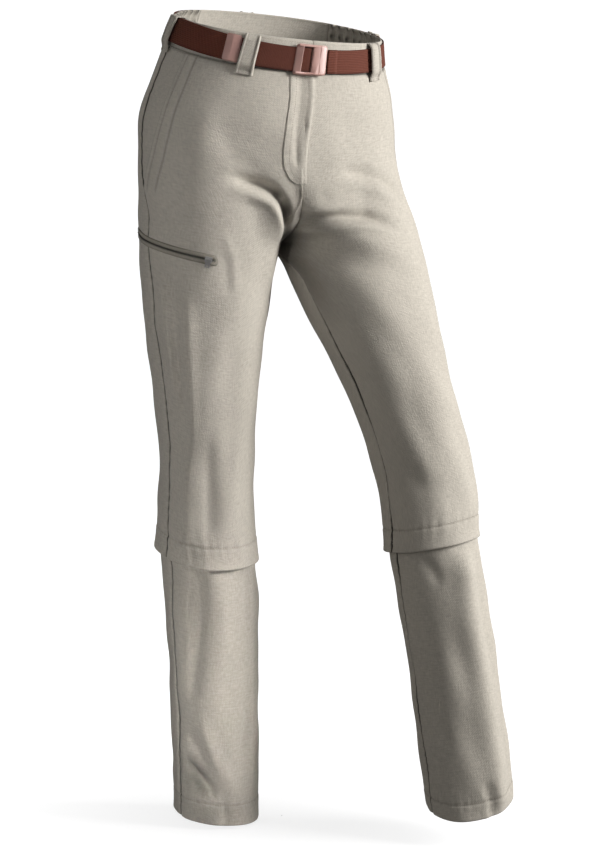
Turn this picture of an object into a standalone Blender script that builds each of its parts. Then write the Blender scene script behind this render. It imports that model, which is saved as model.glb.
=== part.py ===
"""Hiking trousers with zip-off lower legs, hollow and in a worn pose, with their own web belt.

Metres, +Z up. The origin is the centre of the waist ring, where a wearer holds the garment.
The wearer faces -Y, so the wearer's right is -X and the wearer's left is +X.

The cloth surface is read with two numbers on each side of the body. t runs round the
half from the centre front or the front of the inner seam (0), past the side seam (0.5),
to the centre back or the back of the inner seam (1). level is the depth below the waist
ring before the ring is tilted. Every piece is made from points of that surface, moved
in or out along its normal.
"""
import math
from bisect import bisect_right
from collections import namedtuple
from functools import lru_cache
from types import SimpleNamespace

import bmesh
import bpy
import numpy as np
from mathutils import Matrix

RIGHT = -1
LEFT = 1
SIDE_NAMES = {RIGHT: "right", LEFT: "left"}

# Cloth
CLOTH = 0.0016
SEAM_GAP = 0.0003
HALF_GAP = SEAM_GAP / 2
NORMAL_STEP = 0.0015

# Levels down the garment
BAND_BOTTOM = 0.044
CROTCH_LEVEL = 0.262
LEG_BLEND_TOP = 0.050
FLAP_LEVEL = {RIGHT: 0.647, LEFT: 0.633}
ZIP_DEPTH = 0.020
HEM_LEVEL = {RIGHT: 0.988, LEFT: 0.950}
CROTCH_ZONE = (0.200, 0.275)
KNEE_ZIP_HALF = 0.004

# How far along a row, and how far below the crotch, the rise seam pulls the cloth
SEAM_REACH = 0.22
SEAM_FADE = 0.045
SEAM_EASE = 1.5

# Columns of points across a piece
PANEL_COLUMNS = 14
LOWER_COLUMNS = 14
KNEE_ZIP_COLUMNS = 26

# Half of the body ring, shared by both sides
TORSO_COLUMNS = "level x y half_width front back rise_back rise_right square seam_turn"
TORSO_ROWS = [
    (0.000, -0.002, 0.000, 0.131, 0.096, 0.096, 0.22, 0.06, 2.2, -0.02),
    (0.040, -0.0085, 0.000, 0.141, 0.100, 0.103, 0.20, 0.05, 2.2, -0.03),
    (0.075, -0.012, 0.000, 0.152, 0.106, 0.111, 0.16, 0.035, 2.2, -0.04),
    (0.110, -0.018, 0.000, 0.161, 0.110, 0.118, 0.11, 0.02, 2.2, -0.045),
    (0.150, -0.022, 0.000, 0.165, 0.111, 0.121, 0.06, 0.01, 2.2, -0.045),
    (0.190, -0.021, 0.000, 0.168, 0.108, 0.118, 0.02, 0.0, 2.2, -0.04),
    (0.225, -0.016, 0.000, 0.172, 0.104, 0.112, 0.0, 0.0, 2.2, 0.0),
    (0.262, -0.009, 0.000, 0.176, 0.100, 0.106, 0.0, 0.0, 2.2, 0.0),
]

# The rise seam in the middle plane, from the waist down to the crotch point
RISE_COLUMNS = "level front back"
RISE_ROWS = [
    (0.000, -0.096, 0.096),
    (0.040, -0.100, 0.103),
    (0.080, -0.107, 0.112),
    (0.120, -0.110, 0.119),
    (0.160, -0.109, 0.120),
    (0.200, -0.102, 0.111),
    (0.225, -0.090, 0.095),
    (0.243, -0.065, 0.069),
    (0.255, -0.032, 0.041),
    (0.262, 0.010, 0.010),
]

# Leg rings. Above the crotch they are what the body ring turns into
LEG_COLUMNS = "level x y half_width front back rise_back rise_out square seam_turn inner_turn"
UPPER_LEG_ROWS = {
    RIGHT: [
        (0.050, -0.088, 0.000, 0.080, 0.100, 0.104, 0.10, 0.0, 2.1, 0.000, 0.0),
        (0.200, -0.093, 0.002, 0.085, 0.099, 0.102, 0.02, 0.0, 2.1, -0.012, 0.0),
        (0.235, -0.094, 0.003, 0.086, 0.096, 0.099, 0.01, 0.0, 2.1, 0.012, 0.0),
        (0.262, -0.095, 0.004, 0.085, 0.092, 0.096, 0.00, 0.0, 2.1, 0.008, 0.0),
        (0.300, -0.098, 0.004, 0.081, 0.087, 0.091, 0.02, 0.0, 2.1, 0.020, 0.0),
        (0.360, -0.102, 0.003, 0.075, 0.081, 0.084, 0.05, 0.0, 2.1, 0.030, 0.0),
        (0.420, -0.104, 0.001, 0.067, 0.074, 0.077, 0.08, 0.0, 2.1, 0.036, 0.0),
        (0.480, -0.103, 0.001, 0.060, 0.067, 0.071, 0.12, 0.0, 2.1, 0.040, 0.0),
        (0.540, -0.102, 0.002, 0.057, 0.064, 0.066, 0.17, 0.0, 2.1, 0.036, 0.0),
        (0.600, -0.102, 0.004, 0.059, 0.066, 0.066, 0.21, 0.0, 2.1, 0.032, 0.0),
        (0.647, -0.100, 0.006, 0.062, 0.068, 0.068, 0.23, 0.0, 2.1, 0.030, 0.0),
    ],
    LEFT: [
        (0.050, 0.066, 0.000, 0.078, 0.100, 0.104, 0.10, 0.00, 2.1, 0.0, 0.000),
        (0.200, 0.070, -0.018, 0.078, 0.097, 0.102, 0.02, 0.00, 2.1, 0.0, 0.005),
        (0.262, 0.078, -0.034, 0.087, 0.091, 0.096, 0.00, 0.00, 2.1, 0.0, 0.012),
        (0.300, 0.084, -0.045, 0.085, 0.087, 0.091, -0.04, 0.03, 2.1, 0.0, 0.018),
        (0.360, 0.098, -0.064, 0.0755, 0.080, 0.083, -0.08, 0.07, 2.1, 0.0, 0.024),
        (0.420, 0.114, -0.081, 0.0655, 0.072, 0.075, -0.10, 0.10, 2.1, 0.0, 0.026),
        (0.480, 0.129, -0.098, 0.0595, 0.066, 0.068, -0.11, 0.12, 2.1, 0.0, 0.027),
        (0.540, 0.141, -0.114, 0.0580, 0.064, 0.064, -0.11, 0.14, 2.1, 0.0, 0.018),
        (0.590, 0.143, -0.127, 0.0575, 0.064, 0.063, -0.10, 0.15, 2.1, 0.0, 0.010),
        (0.633, 0.1415, -0.137, 0.0565, 0.064, 0.063, -0.10, 0.16, 2.1, 0.0, 0.002),
    ],
}
LOWER_LEG_ROWS = {
    RIGHT: [
        (0.590, -0.102, 0.004, 0.0552, 0.0620, 0.0620, 0.21, 0.0, 2.1, 0.032, 0.0),
        (0.627, -0.101, 0.005, 0.0570, 0.0630, 0.0630, 0.22, 0.0, 2.1, 0.030, 0.0),
        (0.660, -0.097, 0.007, 0.0572, 0.0620, 0.0630, 0.20, 0.0, 2.1, 0.028, 0.0),
        (0.700, -0.093, 0.011, 0.0580, 0.0620, 0.0630, 0.17, 0.01, 2.1, 0.026, 0.0),
        (0.760, -0.089, 0.016, 0.0568, 0.0610, 0.0620, 0.14, 0.02, 2.1, 0.024, 0.0),
        (0.840, -0.085, 0.020, 0.0545, 0.0580, 0.0590, 0.12, 0.03, 2.1, 0.022, 0.0),
        (0.920, -0.082, 0.023, 0.0535, 0.0570, 0.0580, 0.11, 0.05, 2.1, 0.022, 0.0),
        (0.988, -0.081, 0.025, 0.0527, 0.0570, 0.0580, 0.10, 0.06, 2.1, 0.022, 0.0),
    ],
    LEFT: [
        (0.580, 0.143, -0.125, 0.0530, 0.0600, 0.0590, -0.10, 0.15, 2.1, 0.0, 0.008),
        (0.613, 0.142, -0.133, 0.0525, 0.0600, 0.0590, -0.10, 0.16, 2.1, 0.0, 0.004),
        (0.650, 0.1445, -0.140, 0.0525, 0.0590, 0.0580, -0.07, 0.16, 2.1, 0.0, 0.000),
        (0.700, 0.1495, -0.149, 0.0525, 0.0580, 0.0580, -0.02, 0.17, 2.1, 0.0, -0.008),
        (0.760, 0.156, -0.159, 0.0525, 0.0570, 0.0570, 0.03, 0.18, 2.1, 0.0, -0.012),
        (0.840, 0.163, -0.170, 0.0535, 0.0560, 0.0570, 0.08, 0.20, 2.1, 0.0, -0.008),
        (0.900, 0.168, -0.179, 0.0540, 0.0560, 0.0570, 0.12, 0.22, 2.1, 0.0, 0.000),
        (0.950, 0.169, -0.187, 0.0515, 0.0550, 0.0560, 0.15, 0.24, 2.1, 0.0, 0.000),
    ],
}

# Largest folds: a soft trough (positive depth) or ridge (negative) from one surface point to
# another, in the unrolled half where t is measured along FOLD_GIRTH
FOLD_GIRTH = 0.48
FOLD_COLUMNS = "side t_start level_start t_end level_end width depth"
UPPER_FOLDS = [
    (RIGHT, 0.290, 0.196, 0.180, 0.224, 0.014, 0.004),
    (RIGHT, 0.180, 0.224, 0.070, 0.252, 0.014, 0.006),
    (RIGHT, 0.150, 0.262, 0.130, 0.320, 0.022, -0.003),
    (LEFT, 0.040, 0.236, 0.180, 0.231, 0.013, 0.006),
    (LEFT, 0.180, 0.231, 0.330, 0.250, 0.014, 0.005),
    (LEFT, 0.150, 0.177, 0.330, 0.204, 0.013, 0.003),
    (LEFT, 0.140, 0.262, 0.300, 0.280, 0.022, -0.003),
    (RIGHT, 0.750, 0.255, 0.930, 0.275, 0.018, 0.004),
    (LEFT, 0.750, 0.262, 0.930, 0.282, 0.018, 0.004),
]
LOWER_FOLDS = [
    (RIGHT, 0.395, 0.670, 0.380, 0.720, 0.014, 0.003),
    (RIGHT, 0.380, 0.720, 0.430, 0.830, 0.014, 0.003),
    (RIGHT, 0.465, 0.922, 0.335, 0.950, 0.012, 0.004),
    (RIGHT, 0.390, 0.852, 0.250, 0.957, 0.014, -0.003),
    (LEFT, 0.245, 0.660, 0.230, 0.720, 0.014, 0.002),
    (LEFT, 0.230, 0.900, 0.235, 0.950, 0.010, 0.003),
    (LEFT, 0.600, 0.680, 0.640, 0.800, 0.016, 0.003),
    (RIGHT, 0.640, 0.680, 0.600, 0.800, 0.016, 0.003),
]

# Waistband and its elastic gathers
GATHER_START = 0.46
GATHER_END = {RIGHT: 0.82, LEFT: 0.72}
GATHER_PITCH = 0.013
GATHER_DEPTH = 0.0020
GATHER_COLUMNS = 4

# Belt and buckle, in distance round the waist from the centre front (towards the wearer's left),
# height above the belt's middle and lift off the waistband
BELT_LEVEL = 0.0250
BELT_SIDE_RISE = 0.0080
BELT_HEIGHT = 0.030
BELT_THICKNESS = 0.0014
BELT_LIFT = 0.0013
BELT_OUTER_LIFT = 0.0030
BELT_STEP = 0.011
BUCKLE_START = -0.0228
BUCKLE_END = 0.0202
BUCKLE_HALF_HEIGHT = 0.0188
BUCKLE_FRONT = 0.0095
BUCKLE_RAIL = 0.0032
BUCKLE_BAR_DEPTH = 0.0024
BUCKLE_BAR_END = -0.0145
BUCKLE_PLATE_START = -0.0018
ROLLER_DISTANCE = -0.005
ROLLER_LIFT = 0.0034
ROLLER_RADIUS = 0.0011
ROLLER_TURN = 0.0021
FOLD_END = 0.034
FOLD_NOSE = 0.0222
TIP_START = -0.1066
TIP_END = -0.0868
TIP_LIFT = 0.0024
TIP_FRONT = 0.0056
TIP_HALF_HEIGHT = 0.0158
EDGE_BEVEL = 0.0006
BEND_STEP = 0.005

# Belt loops
LOOP_HALF_WIDTH = 0.0095
LOOP_CLOTH = 0.0016
LOOP_ROLL = 0.0007
LOOP_PATH = [
    (0.0205, 0.0009),
    (0.0190, 0.0040),
    (0.0150, 0.0060),
    (0.0000, 0.0066),
    (-0.0160, 0.0060),
    (-0.0230, 0.0036),
    (-0.0280, 0.0015),
    (-0.0330, 0.0013),
]

LOOP_PLACES = {
    "front_right": -0.0743,
    "front_left": 0.098,
    "side_right": -0.202,
    "side_left": 0.201,
    "back": 0.3836,
}

# Fly
FLY_STITCH_SIDE = 0.024
FLY_EDGE_SIDE = 0.007
FLY_BOTTOM = 0.2005
FLY_CURVE = 0.045
FLY_POINT = 0.003
MIDDLE_SPREAD = 0.05
FLY_LIFT = 0.0009
LAID_LIFT = 0.0003
FLY_CLOTH = 0.0011

# Slanted hip pocket: the mouth runs from a point below the waistband to the side seam
POCKET_TOP_T = 0.375
POCKET_BOTTOM_LEVEL = 0.206
POCKET_CURVE = 1.8
FACING_POINT = 0.022
POCKET_INSET = 0.0007

# Thigh pocket zip on the right leg
ZIP_START = (0.575, 0.2515)
ZIP_END = (0.315, 0.2815)
ZIP_SAG = 0.001
ZIP_STEPS = 20
WELT_TURNS = 5
WELT_INNER = 0.0012
WELT_OUTER = 0.0062
WELT_CLOTH = 0.0010
COIL_HALF = 0.0009
COIL_CLOTH = 0.0013
SLIDER_AT = 0.955
SLIDER_SIZE = (0.0090, 0.0070, 0.0022)
SLIDER_LIFT = 0.0019
BRIDGE_HALF = 0.0032
BRIDGE_POST = 0.0013
BRIDGE_AXIS = 0.0068
BRIDGE_RADIUS = 0.0006
PULL_BARREL = 0.0016
PULL_BORE = 0.0010
PULL_BARREL_HALF = 0.0021
PULL_WIDTH = 0.0064
PULL_LENGTH = 0.0105
PULL_CLOTH = 0.0012
PULL_NECK = 0.0022
PULL_TILT = math.radians(12)
PULL_EYE = 0.0012


class Profile:
    """A table of sections, read at any level on a smooth curve through its rows."""

    def __init__(self, columns, rows):
        self.names = columns.split()[1:]
        values = np.array(rows, dtype=float)
        self.levels = list(values[:, 0])
        self.values = values[:, 1:]
        self.slopes = np.gradient(self.values, values[:, 0], axis=0)

    @lru_cache(maxsize=None)
    def at(self, level):
        level = min(max(level, self.levels[0]), self.levels[-1])
        i = min(bisect_right(self.levels, level) - 1, len(self.levels) - 2)
        span = self.levels[i + 1] - self.levels[i]
        f = (level - self.levels[i]) / span
        start = (1 + 2 * f) * (1 - f) ** 2 * self.values[i] + f * (1 - f) ** 2 * span * self.slopes[i]
        end = f * f * (3 - 2 * f) * self.values[i + 1] + f * f * (f - 1) * span * self.slopes[i + 1]
        return SimpleNamespace(**dict(zip(self.names, start + end)))


TORSO = Profile(TORSO_COLUMNS, TORSO_ROWS)
RISE = Profile(RISE_COLUMNS, RISE_ROWS)
UPPER_LEG = {side: Profile(LEG_COLUMNS, rows) for side, rows in UPPER_LEG_ROWS.items()}
LOWER_LEG = {side: Profile(LEG_COLUMNS, rows) for side, rows in LOWER_LEG_ROWS.items()}
Fold = namedtuple("Fold", FOLD_COLUMNS)


def smooth_step(value):
    value = min(max(value, 0.0), 1.0)
    return value * value * (3 - 2 * value)


def signed_power(value, exponent):
    return math.copysign(abs(value) ** exponent, value)


def unit(vector):
    return vector / np.linalg.norm(vector)


def torso_point(side, t, level):
    """A point of the half body ring."""
    row = TORSO.at(level)
    angle = math.pi * (t - row.seam_turn * math.sin(math.pi * t) ** 2)
    across = row.half_width * signed_power(math.sin(angle), 2 / row.square)
    depth = row.front if math.cos(angle) > 0 else row.back
    x = row.x + side * across
    y = row.y - depth * signed_power(math.cos(angle), 2 / row.square)
    return np.array([x, y, row.rise_back * y - row.rise_right * x - level])


def leg_point(profile, side, t, level):
    """A point of one leg's ring, which starts and ends at the inner seam."""
    row = profile.at(level)
    forward = row.inner_turn * math.cos(math.pi * t) ** 2 - row.seam_turn * math.sin(math.pi * t) ** 2
    angle = 2 * math.pi * (t + forward)
    inner = row.half_width * signed_power(math.cos(angle), 2 / row.square)
    depth = row.front if math.sin(angle) > 0 else row.back
    x = row.x - side * inner
    y = row.y - depth * signed_power(math.sin(angle), 2 / row.square)
    z = row.rise_back * (y - row.y) - row.rise_out * inner - level
    return np.array([x, y, z])


def rise_point(level, t):
    """The point of the rise seam at a level, on the front (t = 0) or the back (t = 1)."""
    body = TORSO.at(level)
    y = RISE.at(level).front if t < 0.5 else RISE.at(level).back
    return np.array([body.x, y, body.rise_back * y - body.rise_right * body.x - level])


def blended_point(side, t, level):
    """The body ring turning into the leg ring between the waist and the crotch."""
    leg = leg_point(UPPER_LEG[side], side, t, level)
    blend = smooth_step((level - LEG_BLEND_TOP) / (CROTCH_LEVEL - LEG_BLEND_TOP))
    return leg if blend == 1 else torso_point(side, t, level) * (1 - blend) + leg * blend


def seam_shift(side, t, level):
    """The move that brings a row's end onto the rise seam, fading along the row and below."""
    end = 0.0 if t < 0.5 else 1.0
    reach = abs(t - end) / SEAM_REACH
    if reach >= 1 or level > CROTCH_LEVEL + SEAM_FADE:
        return np.zeros(3)
    seam_level = min(level, CROTCH_LEVEL)
    move = rise_point(seam_level, end) - blended_point(side, end, seam_level)
    fade = 1 - smooth_step((level - CROTCH_LEVEL) / SEAM_FADE)
    return move * fade * (1 - reach) ** SEAM_EASE


def fold_depth(folds, side, t, level):
    """How far the folds push the cloth in at a point of the unrolled half."""
    here = np.array([t * FOLD_GIRTH, level])
    depth = 0.0
    for fold in folds:
        if fold.side == side:
            start = np.array([fold.t_start * FOLD_GIRTH, fold.level_start])
            run = np.array([fold.t_end * FOLD_GIRTH, fold.level_end]) - start
            along = min(max((here - start) @ run / (run @ run), 0.0), 1.0)
            away = np.linalg.norm(here - start - along * run) / fold.width
            depth += fold.depth * math.exp(-away * away)
    return depth


def upper_base(side, t, level):
    return blended_point(side, t, level) + seam_shift(side, t, level)


def lower_base(side, t, level):
    return leg_point(LOWER_LEG[side], side, t, level)


def base_normal(base, side, t, level):
    """The outward normal of a smooth surface, by differences along both directions."""
    t_low, t_high = max(t - NORMAL_STEP, 0.0), min(t + NORMAL_STEP, 1.0)
    round_way = base(side, t_high, level) - base(side, t_low, level)
    down_way = base(side, t, level + NORMAL_STEP) - base(side, t, level - NORMAL_STEP)
    return unit(-side * np.cross(round_way, down_way))


def upper(side, t, level):
    """The trousers from the waist to the knee flap, folds included: a point and its normal."""
    normal = base_normal(upper_base, side, t, level)
    return upper_base(side, t, level) - normal * fold_depth(UPPER_FOLD_LIST, side, t, level), normal


def lower(side, t, level):
    """The lower leg, folds included: a point and its normal."""
    normal = base_normal(lower_base, side, t, level)
    return lower_base(side, t, level) - normal * fold_depth(LOWER_FOLD_LIST, side, t, level), normal


UPPER_FOLD_LIST = [Fold(*row) for row in UPPER_FOLDS]
LOWER_FOLD_LIST = [Fold(*row) for row in LOWER_FOLDS]


def material(name, colour, roughness, metallic=0.0):
    """A plain material with the piece's colour in linear RGB."""
    finish = bpy.data.materials.get(name)
    if finish is None:
        finish = bpy.data.materials.new(name)
        finish.use_nodes = True
        shader = finish.node_tree.nodes["Principled BSDF"]
        shader.inputs["Base Color"].default_value = (*colour, 1.0)
        shader.inputs["Roughness"].default_value = roughness
        shader.inputs["Metallic"].default_value = metallic
        finish.diffuse_color = (*colour, 1.0)
    return finish


def trouser_cloth():
    return material("trouser_cloth", (0.42, 0.385, 0.33), 0.85)


def gather_cloth():
    return material("gathered_cloth", (0.36, 0.33, 0.28), 0.88)


def belt_web():
    return material("belt_web", (0.11, 0.03, 0.018), 0.75)


def buckle_plastic():
    return material("buckle_plastic", (0.55, 0.32, 0.27), 0.4)


def zip_tape():
    return material("zip_tape", (0.07, 0.065, 0.055), 0.7)


def zip_metal():
    return material("zip_metal", (0.35, 0.34, 0.33), 0.35, 0.9)


def add_object(name, mesh_builder, finish):
    """Finish a bmesh as one closed named object with its faces pointing out."""
    bmesh.ops.recalc_face_normals(mesh_builder, faces=mesh_builder.faces)
    mesh = bpy.data.meshes.new(name)
    mesh_builder.to_mesh(mesh)
    mesh_builder.free()
    mesh.shade_smooth()
    mesh.materials.append(finish)
    thing = bpy.data.objects.new(name, mesh)
    bpy.context.scene.collection.objects.link(thing)
    return thing


def shell_mesh(outer, inner, closed=False):
    """A wall between two grids of points: rows down, columns across, open or closed round."""
    builder = bmesh.new()
    grids = [[[builder.verts.new(p) for p in row] for row in grid] for grid in (outer, inner)]
    rows, columns = len(outer), len(outer[0])
    spans = columns if closed else columns - 1
    for grid in grids:
        for i in range(rows - 1):
            for j in range(spans):
                k = (j + 1) % columns
                builder.faces.new((grid[i][j], grid[i][k], grid[i + 1][k], grid[i + 1][j]))
    front, back = grids
    for i in (0, rows - 1):
        for j in range(spans):
            k = (j + 1) % columns
            builder.faces.new((front[i][j], front[i][k], back[i][k], back[i][j]))
    if not closed:
        for j in (0, columns - 1):
            for i in range(rows - 1):
                builder.faces.new((front[i][j], front[i + 1][j], back[i + 1][j], back[i][j]))
    return builder


def run(side, t_start, t_end, count):
    """Evenly spaced stops along a row, each a side and its t."""
    return [(side, t_start + (t_end - t_start) * j / (count - 1)) for j in range(count)]


def row_points(surface, stops, level, lift, wall):
    """Outer and inner points of one row, its ends drawn in by half a seam gap."""
    outer, inner = [], []
    for side, t in stops:
        point, normal = surface(side, t, level)
        outer.append(point + normal * lift)
        inner.append(point + normal * (lift - wall))
    for end, beside in ((0, 1), (-1, -2)):
        side, t = stops[end]
        draw_in = unit(outer[beside] - outer[end]) * HALF_GAP
        outer[end] = outer[end] + draw_in
        inner[end] = inner[end] + draw_in
        if t in (0.0, 1.0):
            outer[end][0] += side * HALF_GAP
            inner[end][0] += side * HALF_GAP
            if level <= CROTCH_LEVEL and side * (inner[end][0] - outer[end][0]) < 0:
                inner[end][0] = outer[end][0]
    return outer, inner


def cloth_piece(name, surface, levels, stops_at, finish, lift=0.0, wall=CLOTH):
    """A piece of cloth with a row at each level; stops_at gives a row's stops for a level."""
    rows = [row_points(surface, stops_at(level), level, lift, wall) for level in levels]
    return add_object(name, shell_mesh([row[0] for row in rows], [row[1] for row in rows]), finish)


def levels_between(start, end, count):
    return [start + (end - start) * i / (count - 1) for i in range(count)]


def upper_levels(side):
    """Rows of an upper panel, closest together round the crotch."""
    rows = levels_between(BAND_BOTTOM + HALF_GAP, CROTCH_ZONE[0], 9)
    rows += levels_between(*CROTCH_ZONE, 9)[1:]
    rows += levels_between(CROTCH_ZONE[1], FLAP_LEVEL[side], 11)[1:]
    return rows


def pocket_mouth(level):
    """The slanted pocket edge, from the waistband to the side seam."""
    down = (level - BAND_BOTTOM) / (POCKET_BOTTOM_LEVEL - BAND_BOTTOM)
    down = min(max(down, 0.0), 1.0)
    return POCKET_TOP_T + (0.5 - POCKET_TOP_T) * down ** POCKET_CURVE


def build_panels(side):
    """Front, back and hip pocket facing of one side, from the waistband to the knee flap's edge."""
    name = SIDE_NAMES[side]
    cloth_piece(
        f"front_panel_{name}", upper, upper_levels(side),
        lambda level: run(side, 0.0, pocket_mouth(level), PANEL_COLUMNS), trouser_cloth())
    cloth_piece(
        f"back_panel_{name}", upper, upper_levels(side),
        lambda level: run(side, 0.5, 1.0, PANEL_COLUMNS), trouser_cloth())
    cloth_piece(
        f"hip_pocket_facing_{name}", upper,
        levels_between(BAND_BOTTOM + HALF_GAP, POCKET_BOTTOM_LEVEL - FACING_POINT, 7),
        lambda level: run(side, pocket_mouth(level), 0.5, 4), trouser_cloth(), lift=-POCKET_INSET)


def gathered(side, t, level):
    """The waistband where elastic draws it into small pleats."""
    point, normal = upper(side, t, level)
    span = GATHER_END[side] - GATHER_START
    phase = (t - GATHER_START) / span * gather_count(side)
    return point - normal * GATHER_DEPTH * (1 - math.cos(2 * math.pi * phase)) / 2, normal


def gather_count(side):
    """The number of whole pleats in one elastic stretch of the waistband."""
    stretch = WAIST.distance(side, GATHER_END[side]) - WAIST.distance(side, GATHER_START)
    return round(stretch / GATHER_PITCH)


def build_waistband():
    """Two front bands, two gathered side bands and a back band."""
    levels = levels_between(0.0, BAND_BOTTOM - HALF_GAP, 4)
    for side, name in SIDE_NAMES.items():
        cloth_piece(
            f"waistband_front_{name}", upper, levels,
            lambda level: run(side, 0.0, GATHER_START, 12), trouser_cloth())
        stops = run(side, GATHER_START, GATHER_END[side], gather_count(side) * GATHER_COLUMNS + 1)
        cloth_piece(f"waistband_side_{name}", gathered, levels, lambda level: stops, gather_cloth())
    right_stops = run(RIGHT, GATHER_END[RIGHT], 1.0, 5)
    left_stops = run(LEFT, 1.0, GATHER_END[LEFT], 7)
    cloth_piece(
        "waistband_back", upper, levels, lambda level: right_stops + left_stops[1:], trouser_cloth())


def across_front(side, t, level):
    """The front surface where a piece crosses the middle, its normal turning evenly across."""
    point, normal = upper(side, t, level)
    other = upper(-side, t, level)[1]
    return point, unit(normal + other * (1 - smooth_step(t / MIDDLE_SPREAD)))


def fly_stops(level):
    """A row of the fly, its points over the front panels' own columns.

    The stitched side curves in to the middle at the bottom.
    """
    down = max(level - (FLY_BOTTOM - FLY_CURVE), 0.0) / FLY_CURVE
    width = FLY_STITCH_SIDE * math.sqrt(max(1 - down * down, 0.0)) + FLY_POINT
    stitched = UPPER_WIDTH.t_at(RIGHT, level, width)
    column = min(pocket_mouth(level) / (PANEL_COLUMNS - 1), stitched / 2)
    edge = UPPER_WIDTH.t_at(LEFT, level, FLY_EDGE_SIDE)
    return [(RIGHT, stitched), (RIGHT, column), (RIGHT, 0.0), (LEFT, edge)]


def build_fly():
    """The placket that covers the front zip, laid on both front panels."""
    levels = [level for level in upper_levels(RIGHT) if level <= FLY_BOTTOM]
    levels[0] += HALF_GAP
    cloth_piece("fly_placket", across_front, levels, fly_stops, trouser_cloth(),
                lift=FLY_LIFT + FLY_CLOTH, wall=FLY_CLOTH)


def build_lower_leg(side):
    """Front and back of the zip-off lower leg and the zip that joins it under the knee flap."""
    name = SIDE_NAMES[side]
    top = FLAP_LEVEL[side] - ZIP_DEPTH
    levels = levels_between(top, HEM_LEVEL[side], 11)
    for part, start, end in (("front", 0.0, 0.5), ("back", 0.5, 1.0)):
        cloth_piece(
            f"lower_{part}_{name}", lower, levels,
            lambda level: run(side, start, end, LOWER_COLUMNS), trouser_cloth())
    rows = [[], []]
    for level in (top - KNEE_ZIP_HALF, top + KNEE_ZIP_HALF):
        for edge, (surface, lift) in enumerate(((upper, -CLOTH - SEAM_GAP), (lower, SEAM_GAP))):
            ring = []
            for side_t in run(side, 0.0, 1.0, KNEE_ZIP_COLUMNS + 1)[:-1]:
                point, normal = surface(*side_t, level)
                ring.append(point + normal * lift)
            rows[edge].append(ring)
    add_object(f"knee_zip_{name}", shell_mesh(rows[0], rows[1], closed=True), zip_tape())


class RowWidth:
    """Distance along a row of the garment from its front end."""

    def __init__(self, surface, stations):
        self.surface = surface
        self.stations = np.linspace(0, 1, stations)

    @lru_cache(maxsize=None)
    def lengths(self, side, level):
        points = np.array([self.surface(side, t, level)[0] for t in self.stations])
        steps = np.linalg.norm(np.diff(points, axis=0), axis=1)
        return np.concatenate([[0.0], np.cumsum(steps)])

    def t_at(self, side, level, distance):
        return float(np.interp(distance, self.lengths(side, level), self.stations))


class WaistLine:
    """Places by distance round the waist, height above the belt's middle and lift."""

    def __init__(self):
        self.width = RowWidth(upper, 241)
        self.half = {side: self.width.lengths(side, BELT_LEVEL)[-1] for side in SIDE_NAMES}
        self.girth = sum(self.half.values())

    def distance(self, side, t):
        return float(np.interp(t, self.width.stations, self.width.lengths(side, BELT_LEVEL)))

    def stop(self, distance):
        """The side and t at a distance from the centre front, positive towards the left."""
        if distance > self.half[LEFT]:
            distance -= self.girth
        side = LEFT if distance >= 0 else RIGHT
        return side, self.width.t_at(side, BELT_LEVEL, abs(distance))

    def point(self, distance, height, lift):
        side, t = self.stop(distance)
        middle = BELT_LEVEL - BELT_SIDE_RISE * math.sin(math.pi * min(t, 0.5)) ** 2
        place, normal = upper(side, t, middle - height)
        return place + normal * lift


UPPER_WIDTH = RowWidth(upper, 81)
WAIST = WaistLine()


def half_turn(distance, lift, radius, towards, steps=6):
    """Points of a fold's half circle; towards is +1 to bulge along the distance, -1 against it."""
    angles = [math.pi * (i + 0.5) / steps - math.pi / 2 for i in range(steps)]
    rising = towards > 0
    points = [(distance + towards * radius * math.cos(a), lift + radius * math.sin(a)) for a in angles]
    return points if rising else points[::-1]


def belt_path():
    """The belt in plan: folded at the buckle's left, round the body, through the slot and back."""
    turn = (BELT_OUTER_LIFT - BELT_LIFT) / 2
    path = [(FOLD_END, BELT_OUTER_LIFT), (FOLD_NOSE + turn, BELT_OUTER_LIFT)]
    path += half_turn(FOLD_NOSE, BELT_LIFT + turn, turn, -1)
    end = WAIST.girth + ROLLER_DISTANCE
    steps = round((end - FOLD_END) / BELT_STEP)
    path += [(FOLD_NOSE + turn, BELT_LIFT)]
    path += [(FOLD_END + (end - FOLD_END) * i / steps, BELT_LIFT) for i in range(steps)]
    path += half_turn(end, ROLLER_LIFT, ROLLER_TURN, 1)
    path += [(end - 0.003, ROLLER_LIFT + ROLLER_TURN), (end - 0.0095, ROLLER_LIFT + ROLLER_TURN)]
    path += [(end - 0.0125, 0.0050), (end - 0.0165, 0.0036)]
    start = end - 0.020
    finish = WAIST.girth + TIP_END + SEAM_GAP
    steps = round((start - finish) / BELT_STEP)
    path += [(start + (finish - start) * i / steps, BELT_OUTER_LIFT) for i in range(steps + 1)]
    return path


def strip_mesh(path, half_across, thickness, place):
    """A flat strip swept along a path of two numbers; place turns (path, across) into a point."""
    flat = np.array(path)
    heading = np.gradient(flat, axis=0)
    rings = []
    for (a, b), (da, db) in zip(flat, heading):
        size = math.hypot(da, db)
        offset = np.array([-db, da]) / size * thickness / 2
        ring = []
        for sign, across in ((1, -half_across), (1, half_across), (-1, half_across), (-1, -half_across)):
            ring.append(place(a + sign * offset[0], b + sign * offset[1], across))
        rings.append(ring)
    return tube_mesh(rings)


def tube_mesh(rings):
    """A closed body through rings of points, with a flat face at each end."""
    builder = bmesh.new()
    rows = [[builder.verts.new(p) for p in ring] for ring in rings]
    count = len(rings[0])
    for above, below in zip(rows, rows[1:]):
        for j in range(count):
            k = (j + 1) % count
            builder.faces.new((above[j], above[k], below[k], below[j]))
    builder.faces.new(rows[0])
    builder.faces.new(rows[-1][::-1])
    return builder


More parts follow.
